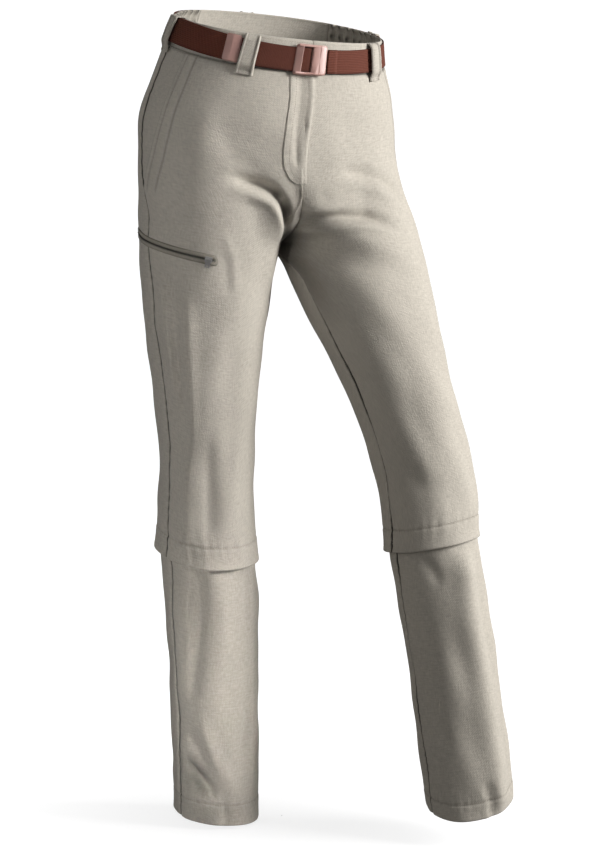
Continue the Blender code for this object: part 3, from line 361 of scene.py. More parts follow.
@dataclass
class Figure:
    """The garment's cut as a surface that gives points and the way out at each."""

    normal_step: float = 0.0015
    blend_top: float = 0.050
    seam_reach: float = 0.22
    seam_fade: float = 0.045
    seam_ease: float = 1.5
    ease_step: float = 0.007
    ease_shares: tuple[float, ...] = (0.0625, 0.25, 0.375, 0.25, 0.0625)
    ease_from_seam: float = 0.02
    ease_fade_round: float = 0.10
    ease_top: float = 0.150
    ease_bottom: float = 0.330
    ease_fade_down: float = 0.04
    swell_from: float = 0.05
    swell_fade: float = 0.08
    under_flap: float = 0.004
    under_flap_fade: float = 0.020
    crest_away: float = 1.9
    fold_start: float = 0.15
    stations: int = 241

    def __post_init__(self) -> None:
        """Read the tables of sections."""
        self.torso_rows = Profile(TORSO_COLUMNS, TORSO_ROWS)
        self.rise_rows = Profile(RISE_COLUMNS, RISE_ROWS)
        self.upper_rows = {side: Profile(LEG_COLUMNS, rows) for side, rows in UPPER_LEG_ROWS.items()}
        self.lower_rows = {side: Profile(LEG_COLUMNS, rows) for side, rows in LOWER_LEG_ROWS.items()}

    def torso(self, side: int, t: np.ndarray, level: np.ndarray) -> np.ndarray:
        """Points of the half body ring.

        Args:
            side: The half.
            t: Places round it.
            level: Levels of the places.

        Returns:
            Points, with a last axis of three.
        """
        row = self.torso_rows.at(level)
        angle = np.pi * (t - row.seam_turn * np.sin(np.pi * t) ** 2)
        across = row.half_width * signed_power(np.sin(angle), 2 / row.square)
        depth = np.where(np.cos(angle) > 0, row.front, row.back)
        x = row.x + side * across
        y = row.y - depth * signed_power(np.cos(angle), 2 / row.square)
        return stacked(x, y, row.rise_back * y - row.rise_right * x - level)

    def leg(self, rows: Profile, side: int, t: np.ndarray, level: np.ndarray) -> np.ndarray:
        """Points of one leg's ring, which starts and ends at the inner seam.

        Args:
            rows: The leg's table.
            side: The half.
            t: Places round the leg.
            level: Levels below the waist ring.

        Returns:
            Points, with a last axis of three.
        """
        row = rows.at(level)
        forward = row.inner_turn * np.cos(np.pi * t) ** 2 - row.seam_turn * np.sin(np.pi * t) ** 2
        angle = 2 * np.pi * (t + forward)
        inner = row.half_width * signed_power(np.cos(angle), 2 / row.square)
        depth = np.where(np.sin(angle) > 0, row.front, row.back)
        x = row.x - side * inner
        y = row.y - depth * signed_power(np.sin(angle), 2 / row.square)
        return stacked(x, y, row.rise_back * (y - row.y) - row.rise_out * inner - level)

    def rise(self, level: np.ndarray, end: np.ndarray) -> np.ndarray:
        """Points of the rise seam.

        Args:
            level: Levels below the waist ring.
            end: 0 on the front, 1 on the back.

        Returns:
            Points, with a last axis of three.
        """
        body = self.torso_rows.at(level)
        seam = self.rise_rows.at(level)
        y = np.where(end < 0.5, seam.front, seam.back)
        return stacked(body.x, y, body.rise_back * y - body.rise_right * body.x - level)

    def blended(self, side: int, t: np.ndarray, level: np.ndarray) -> np.ndarray:
        """The body ring turning into the leg ring between the waist and the crotch.

        Args:
            side: The half.
            t: Places round it.
            level: Levels of the places.

        Returns:
            Points, with a last axis of three.
        """
        leg = self.leg(self.upper_rows[side], side, t, level)
        blend = smooth_step((level - self.blend_top) / (CROTCH_LEVEL - self.blend_top))[..., None]
        return self.torso(side, t, level) * (1 - blend) + leg * blend

    def seam_shift(self, side: int, t: np.ndarray, level: np.ndarray) -> np.ndarray:
        """The move that brings a row's end onto the rise seam, fading along the row.

        Args:
            side: The half.
            t: Places round it.
            level: Levels of the places.

        Returns:
            Moves, with a last axis of three.
        """
        end = np.where(t < 0.5, 0.0, 1.0)
        reach = np.clip(np.abs(t - end) / self.seam_reach, 0.0, 1.0)
        seam_level = np.minimum(level, CROTCH_LEVEL)
        move = self.rise(seam_level, end) - self.blended(side, end, seam_level)
        fade = 1 - smooth_step((level - CROTCH_LEVEL) / self.seam_fade)
        return move * (fade * (1 - reach) ** self.seam_ease)[..., None]

    def cut(self, side: int, t: np.ndarray, level: np.ndarray) -> np.ndarray:
        """Points of the upper cloth as it is cut."""
        return self.blended(side, t, level) + self.seam_shift(side, t, level)

    def base(self, layer: Layer, side: int, t: np.ndarray, level: np.ndarray) -> np.ndarray:
        """Points of the smooth surface, eased where the body turns into the legs.

        Args:
            layer: Upper or lower cloth.
            side: The half.
            t: Places round it.
            level: Levels of the places.

        Returns:
            Points, with a last axis of three.
        """
        if layer is Layer.LOWER:
            return self.leg(self.lower_rows[side], side, t, level)
        points = self.cut(side, t, level)
        inner = smooth_step((np.minimum(t, 1 - t) - self.ease_from_seam) / self.ease_fade_round)
        below = smooth_step((level - self.ease_top) / self.ease_fade_down)
        above = 1 - smooth_step((level - self.ease_bottom) / self.ease_fade_down)
        weight = inner * below * above
        near = weight > 0
        if near.any():
            eased = sum(share * self.cut(side, t[near], level[near] + (step - 2) * self.ease_step)
                        for step, share in enumerate(self.ease_shares))
            points[near] += weight[near][:, None] * (eased - points[near])
        return points

    def relief(self, layer: Layer, side: int, t: np.ndarray, level: np.ndarray) -> np.ndarray:
        """How far folds and unevenness push the cloth in.

        Args:
            layer: Upper or lower cloth.
            side: The half.
            t: Places round the half.
            level: Levels, of the same shape.

        Returns:
            Depths in metres.
        """
        here = stacked(t * FOLD_GIRTH, level)
        depth = np.zeros(here.shape[:-1])
        for fold in FOLDS[layer, side]:
            depth += self.fold_depth(fold, here)
        for round_waves, down_waves, phase, height in SWELLS:
            turn = 2 * np.pi * (round_waves * here[..., 0] + down_waves * here[..., 1])
            below = smooth_step((level - self.swell_from) / self.swell_fade)
            depth += height * np.sin(turn + phase + side) * below
        if layer is Layer.LOWER:
            depth *= smooth_step((level - FLAP_LEVEL[side] + self.under_flap) / self.under_flap_fade)
        return depth

    def fold_depth(self, fold: FoldLine, here: np.ndarray) -> np.ndarray:
        """The depth of one fold line.

        Args:
            fold: The fold.
            here: Places of the unrolled cloth.

        Returns:
            Depths in metres.
        """
        places = np.array(fold.places) * np.array([FOLD_GIRTH, 1.0])
        runs = np.diff(places, axis=0)
        lengths = np.linalg.norm(runs, axis=1)
        nearest = np.full(here.shape[:-1], 1e9)
        offside = np.zeros(here.shape[:-1])
        passed = np.zeros(here.shape[:-1])
        for place, run, length, before in zip(places, runs, lengths, np.cumsum(lengths) - lengths):
            along = np.clip((here - place) @ run / length ** 2, 0.0, 1.0)
            away = here - place - along[..., None] * run
            distance = np.linalg.norm(away, axis=-1)
            closer = distance < nearest
            cross = (away[..., 1] * run[0] - away[..., 0] * run[1]) / length
            nearest = np.where(closer, distance, nearest)
            offside = np.where(closer, cross, offside)
            passed = np.where(closer, before + along * length, passed)
        share = passed / lengths.sum()
        taper = smooth_step(np.minimum(share, 1 - share) / fold.fade + self.fold_start)
        trough = np.exp(-(nearest / fold.width) ** 2)
        beyond = np.maximum(nearest ** 2 - offside ** 2, 0.0)
        crest = np.exp(-((offside - self.crest_away * fold.width) ** 2 + beyond) / fold.width ** 2)
        return fold.depth * taper * (trough - fold.crest * crest)

    def surface(self, layer: Layer, side: np.ndarray, t: np.ndarray, level: np.ndarray,
                folds: bool = True) -> tuple[np.ndarray, np.ndarray]:
        """Points and outward normals for places on either side.

        Args:
            layer: Upper or lower cloth.
            side: RIGHT or LEFT for each place.
            t: Places round it.
            level: Levels of the places.
            folds: Whether folds and unevenness are included.

        Returns:
            Points and normals, with a last axis of three.
        """
        side, t, level = np.broadcast_arrays(side, t, level)
        points = np.zeros(t.shape + (3,))
        normals = np.zeros(t.shape + (3,))
        for hand in SIDE_NAMES:
            chosen = side == hand
            if not chosen.any():
                continue
            u, v = t[chosen], level[chosen]
            low, high = np.maximum(u - self.normal_step, 0.0), np.minimum(u + self.normal_step, 1.0)
            round_way = self.base(layer, hand, high, v) - self.base(layer, hand, low, v)
            down_way = (self.base(layer, hand, u, v + self.normal_step)
                        - self.base(layer, hand, u, v - self.normal_step))
            way_out = unit(-hand * np.cross(round_way, down_way))
            place = self.base(layer, hand, u, v)
            if folds:
                place = place - way_out * self.relief(layer, hand, u, v)[..., None]
            points[chosen] = place
            normals[chosen] = way_out
        return points, normals

    def t_at(self, side: int, level: float, distance: float) -> float:
        """The place at a distance along a row from its front end.

        Args:
            side: The half.
            level: The row's level.
            distance: The distance in metres.

        Returns:
            The place round the half.
        """
        stations = np.linspace(0.0, 1.0, self.stations)
        points, _ = self.surface(Layer.UPPER, side, stations, level, False)
        return float(np.interp(distance, passed(points), stations))


@dataclass
class WaistLine:
    """Places by distance round the waist, height above the belt's middle and lift."""

    figure: Figure
    level: float = 0.0250
    side_rise: float = 0.0103

    def __post_init__(self) -> None:
        """Measure both halves of the waist ring."""
        self.stations = np.linspace(0.0, 1.0, self.figure.stations)
        self.lengths = {}
        for side in SIDE_NAMES:
            points, _ = self.figure.surface(Layer.UPPER, side, self.stations, self.level)
            self.lengths[side] = passed(points)
        self.girth = sum(length[-1] for length in self.lengths.values())

    def stops(self, distance: np.ndarray) -> tuple[np.ndarray, np.ndarray]:
        """The side and t of places round the waist.

        Args:
            distance: Distances from the centre front, positive towards the left.

        Returns:
            The side and the t of each.
        """
        distance = np.where(distance > self.lengths[LEFT][-1], distance - self.girth, distance)
        side = np.where(distance >= 0, LEFT, RIGHT)
        left = np.interp(distance, self.lengths[LEFT], self.stations)
        right = np.interp(-distance, self.lengths[RIGHT], self.stations)
        return side, np.where(side == LEFT, left, right)

    def point(self, distance: np.ndarray, height: np.ndarray, lift: np.ndarray) -> np.ndarray:
        """Points in space for waist coordinates.

        Args:
            distance: Distances round the waist.
            height: Heights above the belt's middle.
            lift: Lifts off the waistband.

        Returns:
            Points, with a last axis of three.
        """
        distance, height, lift = np.broadcast_arrays(distance, height, lift)
        side, t = self.stops(distance)
        middle = self.level - self.side_rise * np.sin(np.pi * np.minimum(t, 0.5)) ** 2
        points, normals = self.figure.surface(Layer.UPPER, side, t, middle - height)
        return points + normals * lift[..., None]

    def distance(self, side: int, t: float) -> float:
        """The distance from the centre front to a place of one side."""
        return float(np.interp(t, self.stations, self.lengths[side]))


class Term:
    """A value in a shader, whose arithmetic is done by Math nodes."""

    def __init__(self, graph: "Graph", socket: bpy.types.NodeSocket) -> None:
        """Wrap a socket of a graph."""
        self.graph = graph
        self.socket = socket

    def __add__(self, other: "TermLike") -> "Term":
        """Sum of two values."""
        return self.graph.math("ADD", self, other)

    def __radd__(self, other: "TermLike") -> "Term":
        """Sum of two values."""
        return self.graph.math("ADD", other, self)

    def __sub__(self, other: "TermLike") -> "Term":
        """Difference of two values."""
        return self.graph.math("SUBTRACT", self, other)

    def __rsub__(self, other: "TermLike") -> "Term":
        """Difference of two values."""
        return self.graph.math("SUBTRACT", other, self)

    def __mul__(self, other: "TermLike") -> "Term":
        """Product of two values."""
        return self.graph.math("MULTIPLY", self, other)

    def __rmul__(self, other: "TermLike") -> "Term":
        """Product of two values."""
        return self.graph.math("MULTIPLY", other, self)

    def __truediv__(self, other: "TermLike") -> "Term":
        """Quotient of two values."""
        return self.graph.math("DIVIDE", self, other)

    def __rtruediv__(self, other: "TermLike") -> "Term":
        """Quotient of two values."""
        return self.graph.math("DIVIDE", other, self)

    def sine(self) -> "Term":
        """Sine of the value."""
        return self.graph.math("SINE", self, 0.0)


TermLike = Term | float


class Graph:
    """The node tree of one material, with short calls for the nodes that the finishes use."""

    def __init__(self, name: str) -> None:
        """Make a material with only its Principled shader and output.

        Args:
            name: The material's name.
        """
        self.material = bpy.data.materials.new(name)
        self.material.use_nodes = True
        self.tree = self.material.node_tree
        self.shader = self.tree.nodes["Principled BSDF"]

    def node(self, kind: str, settings: dict[str, str], values: dict[int | str, TermLike]) -> bpy.types.Node:
        """Add a node.

        Args:
            kind: The node's type.
            settings: Its settings, which are set first.
            values: Values or links of its sockets, by number or name.

        Returns:
            The node.
        """
        made = self.tree.nodes.new(kind)
        for label, setting in settings.items():
            setattr(made, label, setting)
        for key, value in values.items():
            self.join(value, made.inputs[key])
        return made

    def join(self, value: TermLike | Colour, socket: bpy.types.NodeSocket) -> None:
        """Link a term to a socket, or set a constant on it.

        Args:
            value: The term, number or colour.
            socket: The socket.
        """
        if isinstance(value, Term):
            self.tree.links.new(value.socket, socket)
        elif isinstance(value, tuple):
            socket.default_value = (*value, 1.0)[: len(socket.default_value)]
        else:
            socket.default_value = value

    def math(self, operation: str, first: TermLike, second: TermLike) -> Term:
        """One Math node."""
        step = self.node("ShaderNodeMath", {"operation": operation}, {0: first, 1: second})
        return Term(self, step.outputs[0])

    def uv(self) -> tuple[Term, Term]:
        """The piece's own cloth coordinates.

        Returns:
            Metres round the piece and metres down it.
        """
        source = Term(self, self.node("ShaderNodeUVMap", {}, {}).outputs["UV"])
        split = self.node("ShaderNodeSeparateXYZ", {}, {0: source})
        return Term(self, split.outputs[0]), Term(self, split.outputs[1])

    def place(self) -> Term:
        """Object coordinates."""
        return Term(self, self.node("ShaderNodeTexCoord", {}, {}).outputs["Object"])

    def length(self, vector: Term) -> Term:
        """The length of a vector."""
        measure = self.node("ShaderNodeVectorMath", {"operation": "LENGTH"}, {0: vector})
        return Term(self, measure.outputs["Value"])

    def attribute(self, name: str) -> Term:
        """A value that the piece's mesh carries."""
        return Term(self, self.node("ShaderNodeAttribute", {"attribute_name": name}, {}).outputs["Fac"])

    def vector(self, x: TermLike, y: TermLike, z: TermLike = 0.0) -> Term:
        """Three values as one vector."""
        return Term(self, self.node("ShaderNodeCombineXYZ", {}, {0: x, 1: y, 2: z}).outputs[0])

    def noise(self, place: Term, scale: float, detail: float = 2.0) -> Term:
        """Soft noise from 0 to 1."""
        values = {"Vector": place, "Scale": scale, "Detail": detail}
        return Term(self, self.node("ShaderNodeTexNoise", {}, values).outputs["Fac"])

    def mix(self, first: Term | Colour, second: Term | Colour, factor: TermLike) -> Term:
        """A colour between two colours, whose sockets have the numbers 6 and 7 on a Mix node."""
        blend = self.node("ShaderNodeMix", {"data_type": "RGBA"}, {0: factor, 6: first, 7: second})
        return Term(self, blend.outputs[2])

    def bump(self, height: Term, distance: float, strength: float) -> None:
        """Feed a height into the shader's normal.

        Args:
            height: The height from 0 to 1.
            distance: The relief in metres.
            strength: How far the normal follows it.
        """
        values = {"Strength": strength, "Distance": distance, "Height": height}
        step = self.node("ShaderNodeBump", {}, values)
        self.join(Term(self, step.outputs["Normal"]), self.shader.inputs["Normal"])

    def surface(self, **values: TermLike | Colour) -> None:
        """Set or link inputs of the shader, named with underscores for spaces."""
        for name, value in values.items():
            self.join(value, self.shader.inputs[name.replace("_", " ").title().replace("Ior", "IOR")])


def shade(colour: Colour, factor: float) -> Colour:
    """A colour made lighter or darker."""
    return tuple(min(channel * factor, 1.0) for channel in colour)


@dataclass(frozen=True)
class ClothFinish:
    """Plain-woven stretch cloth: slubs along and across, a fine weave and a soft sheen."""

    name: str
    slot: str
    colour: Colour
    slub: float = 0.20
    weave: float = 0.0022
    relief: float = 0.00032
    roughness: float = 0.86
    sheen: float = 0.08
    crease_shade: float = 0.86
    weft: tuple[float, float] = (110.0, 520.0)
    warp: tuple[float, float] = (520.0, 130.0)
    patches: float = 26.0
    tones: tuple[float, float] = (0.55, 1.45)

    def build(self) -> bpy.types.Material:
        """Make the material.

        Returns:
            The finished material.
        """
        graph = Graph(self.name)
        across, down = graph.uv()
        weft = graph.noise(graph.vector(across * self.weft[0], down * self.weft[1]), 1.0, 1.0)
        warp = graph.noise(graph.vector(across * self.warp[0], down * self.warp[1], 7.0), 1.0, 1.0)
        patch = graph.noise(graph.vector(across, down, 3.0), self.patches, 3.0)
        turn = 2 * math.pi / self.weave
        threads = (across * turn).sine() * (down * turn).sine()
        grain = weft + warp - 1.0
        tone = grain * self.slub * 2.0 + (patch - 0.5) * 0.10 + threads * 0.05 + 0.5
        plain = graph.mix(shade(self.colour, self.tones[0]), shade(self.colour, self.tones[1]), tone)
        # Seam lines and painted shade carried on the mesh darken the colour: the shade is painted in hollows,
        # in pleat bottoms and beside the pocket mouth
        seam_and_painted_shade = graph.attribute("seam_and_painted_shade")
        graph.surface(base_color=graph.mix(plain, shade(self.colour, 1 - self.crease_shade), seam_and_painted_shade))
        graph.surface(roughness=grain * 0.1 + self.roughness)
        graph.surface(sheen_weight=self.sheen, sheen_roughness=0.5, specular_ior_level=0.25)
        graph.bump(grain + threads * 0.35, self.relief, 0.8)
        return graph.material


@dataclass(frozen=True)
class WebFinish:
    """Woven web or tape: ribs, a twill or a hatch, worked out from the piece's own coordinates."""

    name: str
    slot: str
    colour: Colour
    weave: Weave
    pitch: float
    relief: float
    roughness: float = 0.72
    fleck: tuple[float, float] = (500.0, 260.0)
    tones: tuple[float, float] = (0.62, 1.38)
    crease_shade: float = 0.65

    def build(self) -> bpy.types.Material:
        """Make the material.

        Returns:
            The finished material.
        """
        graph = Graph(self.name)
        along, across = graph.uv()
        turn = 2 * math.pi / self.pitch
        fleck = graph.noise(graph.vector(along * self.fleck[0], across * self.fleck[1]), 1.0, 2.0)
        if self.weave is Weave.RIB:
            tongue = graph.attribute("tongue")
            ribs = (across * turn).sine()
            twill = ((along * 0.9 + across * 1.3) * turn).sine()
            height = ribs * (1.0 - tongue) * 0.6 + twill * tongue
        elif self.weave is Weave.HATCH:
            height = ((along + across) * turn).sine()
        else:
            height = (along * turn).sine() * 0.5 + (across * turn).sine() * 0.5
        tone = height * 0.20 + (fleck - 0.5) * 0.5 + 0.5
        plain = graph.mix(shade(self.colour, self.tones[0]), shade(self.colour, self.tones[1]), tone)
        # Painted shade carried on the mesh darkens the colour along the belt's edges and the welts' edges
        seam_and_painted_shade = graph.attribute("seam_and_painted_shade")
        graph.surface(base_color=graph.mix(plain, shade(self.colour, 1 - self.crease_shade), seam_and_painted_shade))
        graph.surface(roughness=(fleck - 0.5) * 0.2 + self.roughness)
        graph.surface(sheen_weight=0.04, sheen_roughness=0.4, specular_ior_level=0.2)
        graph.bump(height + fleck * 0.4, self.relief, 0.9)
        return graph.material


@dataclass(frozen=True)
class HardFinish:
    """Moulded plastic or cast metal with slight unevenness."""

    name: str
    slot: str
    colour: Colour
    roughness: float
    metallic: float = 0.0
    coat: float = 0.0
    grain: float = 900.0
    clouds: float = 90.0
    relief: float = 0.00006

    def build(self) -> bpy.types.Material:
        """Make the material.

        Returns:
            The finished material.
        """
        graph = Graph(self.name)
        fine = graph.noise(graph.place(), self.grain, 2.0)
        broad = graph.noise(graph.place(), self.clouds, 2.0)
        graph.surface(base_color=graph.mix(shade(self.colour, 0.9), shade(self.colour, 1.1), broad))
        graph.surface(roughness=(fine - 0.5) * 0.16 + self.roughness)
        graph.surface(metallic=self.metallic, coat_weight=self.coat)
        graph.bump(fine, self.relief, 0.6)
        return graph.material


@dataclass(frozen=True)
class FloorFinish:
    """A pale seamless floor that glows less round the garment, where its shadow lies."""

    name: str
    colour: Colour
    near_glow: float
    far_glow: float
    near: float
    reach: float

    def build(self) -> bpy.types.Material:
        """Make the material.

        Returns:
            The finished material.
        """
        graph = Graph(self.name)
        place = graph.place()
        cloud = graph.noise(place, 0.6, 1.0)
        graph.surface(base_color=graph.mix(shade(self.colour, 0.995), self.colour, cloud))
        away = (graph.length(place) - self.near) / self.reach
        share = graph.math("MINIMUM", graph.math("MAXIMUM", away, 0.0), 1.0)
        near = (self.near_glow,) * 3
        far = (self.far_glow,) * 3
        graph.surface(emission_color=graph.mix(near, far, share))
        graph.surface(roughness=0.9, specular_ior_level=0.0, emission_strength=1.0)
        return graph.material


CLOTH_FINISH = ClothFinish("stone_cloth", "trouser_cloth", (0.42, 0.385, 0.33))
GATHER_FINISH = ClothFinish("gathered_stone_cloth", "gathered_cloth", (0.36, 0.33, 0.28), 0.18)
WELT_FINISH = WebFinish("welt_cloth", "trouser_cloth", (0.33, 0.30, 0.25), Weave.HATCH, 0.0024, 0.0003, 0.85)
BELT_FINISH = WebFinish("ribbed_web", "belt_web", (0.120, 0.034, 0.020), Weave.RIB, 0.0021, 0.0005)
TAPE_FINISH = WebFinish("woven_zip_tape", "zip_tape", (0.075, 0.068, 0.056), Weave.TAPE, 0.0011, 0.0002, 0.8)
THREAD_FINISH = HardFinish("sewing_thread", "trouser_cloth", (0.27, 0.24, 0.195), 0.8)
COIL_FINISH = HardFinish("zip_coil_nylon", "zip_tape", (0.055, 0.05, 0.042), 0.45)
BUCKLE_FINISH = HardFinish("pink_moulded_plastic", "buckle_plastic", (0.42, 0.240, 0.205), 0.45, 0.0, 0.05)
METAL_FINISH = HardFinish("satin_cast_metal", "zip_metal", (0.34, 0.33, 0.32), 0.34, 0.9)
FLOOR_FINISH = FloorFinish("pale_floor", (0.22, 0.22, 0.22), 0.83, 1.02, 1.002, 0.070)


class Workshop:
    """Materials by finish, made once each, and the list of finished pieces."""

    def __init__(self) -> None:
        """Start with no materials and no pieces."""
        self.materials = {}
        self.pieces = {}

    def material(self, finish: ClothFinish | WebFinish | HardFinish | FloorFinish) -> bpy.types.Material:
        """The material of a finish.

        Args:
            finish: The finish.

        Returns:
            Its material, made once.
        """
        if finish.name not in self.materials:
            self.materials[finish.name] = finish.build()
        return self.materials[finish.name]

    def add(self, name: str, mesh: bpy.types.Mesh, finish: ClothFinish | WebFinish | HardFinish,
            replaces: Sequence[str] = (), body: str = GARMENT) -> bpy.types.Object:
        """Make a piece from its mesh, let it ride on a body and stand for CAD nodes.

        Args:
            name: The piece's name.
            mesh: Its mesh, in the shared frame.
            finish: Its finish.
            replaces: The CAD nodes that it stands for.
            body: The body that it rides on.

        Returns:
            The new object.
        """
        mesh.materials.clear()
        mesh.materials.append(self.material(finish))
        thing = bpy.data.objects.new(name, mesh)
        bpy.context.scene.collection.objects.link(thing)
        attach(thing, body)
        if replaces:
            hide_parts(*replaces)
        self.pieces[name] = thing
        LOG.info("%s: %d faces", name, len(mesh.polygons))
        return thing


def mesh_from(name: str, points: np.ndarray, faces: list, uv: np.ndarray | None = None,
              values: dict[str, np.ndarray] | None = None) -> bpy.types.Mesh:
    """A smooth mesh with cloth coordinates and named values on its points.

    Args:
        name: The mesh's name.
        points: Its points.
        faces: Point numbers of each face.
        uv: Two coordinates for each point.
        values: A number for each point, by attribute name.

    Returns:
        The mesh.
    """
    mesh = bpy.data.meshes.new(name)
    mesh.from_pydata(points.tolist(), [], faces)
    if uv is not None:
        layer = mesh.uv_layers.new(name="cloth")
        corners = np.zeros(len(mesh.loops), dtype=np.int32)
        mesh.loops.foreach_get("vertex_index", corners)
        layer.uv.foreach_set("vector", uv[corners].astype(np.float32).ravel())
    for label, numbers in (values or {}).items():
        store = mesh.attributes.new(label, "FLOAT", "POINT")
        store.data.foreach_set("value", numbers.astype(np.float32))
    mesh.shade_smooth()
    mesh.update()
    return mesh


def grid_faces(rows: int, columns: int, first: int = 0, closed: bool = False,
               flip: bool = False) -> np.ndarray:
    """Quads of a grid of points numbered row by row.

    Args:
        rows: The number of rows.
        columns: The number of points in a row.
        first: The number of the first point.
        closed: Whether each row joins its own start.
        flip: Whether the faces look the other way.

    Returns:
        Four point numbers for each quad.
    """
    i, j = np.meshgrid(np.arange(rows - 1), np.arange(columns if closed else columns - 1), indexing="ij")
    k = (j + 1) % columns
    below = (i + 1) * columns
    quads = np.stack([i * columns + j, i * columns + k, below + k, below + j], axis=-1)
    quads = quads.reshape(-1, 4) + first
    return quads[:, ::-1] if flip else quads


def grid_rim(rows: int, columns: int) -> np.ndarray:
    """Point numbers once round the edge of a grid.

    Args:
        rows: The number of rows.
        columns: The number of points in a row.

    Returns:
        The numbers.
    """
    top = np.arange(columns)
    right = np.arange(1, rows) * columns + columns - 1
    bottom = (rows - 1) * columns + np.arange(columns - 2, -1, -1)
    left = np.arange(rows - 2, 0, -1) * columns
    return np.concatenate([top, right, bottom, left])


def capped_tube(rows: int, columns: int) -> list[list[int]]:
    """Faces of a tube of rings with a face over each end.

    Args:
        rows: The number of rings.
        columns: The number of points in a ring.

    Returns:
        Point numbers of each face.
    """
    faces = grid_faces(rows, columns, closed=True).tolist()
    faces.append(list(range(columns))[::-1])
    faces.append([(rows - 1) * columns + i for i in range(columns)])
    return faces


@dataclass(frozen=True)
class PaintedHollowShade:
    """Painted shade: a soft dark patch painted into the cloth's colour where the cloth lies against itself and
    its own shade falls.
    """

    layer: Layer
    side: int
    place: tuple[float, float]
    reach: tuple[float, float]
    amount: float

    def shade(self, side: np.ndarray, t: np.ndarray, level: np.ndarray) -> np.ndarray:
        """How much painted shade each place of the hollow's layer gets.

        Args:
            side: The half of each place.
            t: Places round the half.
            level: Levels below the waist.

        Returns:
            Shares from 0 to the hollow's amount.
        """
        away = ((t - self.place[0]) / self.reach[0]) ** 2 + ((level - self.place[1]) / self.reach[1]) ** 2
        return np.where(side == self.side, self.amount * np.exp(-away), 0.0)


# Painted shade where shade falls on the cloth: the right groin hollow, the crotch, the inner left thigh, the
# left groin crease and a trough low on the right leg
PAINTED_HOLLOW_SHADES = [
    PaintedHollowShade(Layer.UPPER, RIGHT, (0.105, 0.226), (0.022, 0.020), 1.0),
    PaintedHollowShade(Layer.UPPER, RIGHT, (0.130, 0.205), (0.020, 0.009), 0.8),
    PaintedHollowShade(Layer.UPPER, RIGHT, (0.070, 0.256), (0.060, 0.012), 1.0),
    PaintedHollowShade(Layer.UPPER, RIGHT, (0.000, 0.262), (0.050, 0.014), 1.0),
    PaintedHollowShade(Layer.UPPER, LEFT, (0.010, 0.262), (0.060, 0.018), 1.0),
    PaintedHollowShade(Layer.UPPER, LEFT, (0.020, 0.300), (0.060, 0.050), 0.6),
    PaintedHollowShade(Layer.UPPER, LEFT, (0.070, 0.239), (0.080, 0.006), 0.5),
    PaintedHollowShade(Layer.LOWER, RIGHT, (0.425, 0.925), (0.060, 0.014), 0.45),
]


@dataclass(frozen=True)
class EdgeStyle:
    """How one edge of a cloth piece is finished.

    A seam sinks at the edge. A hem is a turned band that ends in a stitched line.
    """

    dip: float = 0.0
    dip_width: float = 0.0028
    line_width: float = 0.0013
    hem: float = 0.0
    hem_thickness: float = 0.0005
    groove: float = 0.0010
    groove_width: float = 0.0016
    groove_shade: float = 0.16
    groove_line: float = 0.0011
    raise_edge: float = 0.0
    raise_width: float = 0.006
    pucker: float = 0.0
    pucker_pitch: float = 0.013
    pucker_reach: float = 0.010
    pucker_sway: tuple[tuple[float, float], ...] = ((0.35, 0.023), (0.2, 0.009))
    shade: float = 0.0
    phase: float = 0.0
    full_from: float = 0.0
    full_fade: float = 0.012
    share_above: float = 1.0

    def relief(self, distance: np.ndarray, along: np.ndarray,
               level: np.ndarray) -> tuple[np.ndarray, np.ndarray]:
        """The inward depth and the dark line that the edge's sewing makes.

        Args:
            distance: Distance of each point from the edge.
            along: Distance of each point along the edge.
            level: Levels below the waist.

        Returns:
            Depths in metres, and shade from 0 to 1.
        """
        depth = self.dip * np.exp(-(distance / self.dip_width) ** 2)
        dark = self.shade * np.exp(-(distance / self.line_width) ** 2)
        if self.hem:
            past = distance - self.hem
            band = 1 - smooth_step(past / 0.002 + 0.5)
            groove = np.exp(-(past / self.groove_width) ** 2)
            depth = depth - self.hem_thickness * band + self.groove * groove
            dark = dark + self.groove_shade * np.exp(-(past / self.groove_line) ** 2)
            away = np.abs(past) / self.pucker_reach
        else:
            away = distance / self.pucker_reach
        sway = sum(amount * np.sin(along / reach) for amount, reach in self.pucker_sway)
        wave = np.sin(2 * np.pi * (along / self.pucker_pitch + sway) + self.phase)
        depth = depth + self.pucker * wave * np.exp(-away)
        depth = depth - self.raise_edge * np.exp(-(distance / self.raise_width) ** 2)
        below = smooth_step((level - self.full_from) / self.full_fade) if self.full_from else 1.0
        share = self.share_above + (1 - self.share_above) * below
        return depth * share, dark * share


PLAIN_EDGE = EdgeStyle()
SEAM = EdgeStyle(dip=0.0016, pucker=0.00035, shade=1.0)
RISE_SEAM = replace(SEAM, full_from=CROTCH_LEVEL - 0.015, share_above=0.08)
SIDE_SEAM = EdgeStyle(dip=0.0015, pucker=0.00030, pucker_pitch=0.019, shade=1.0, phase=1.0)
BAND_SEAM = EdgeStyle(dip=0.0010, pucker=0.00020, pucker_pitch=0.010, shade=0.6)


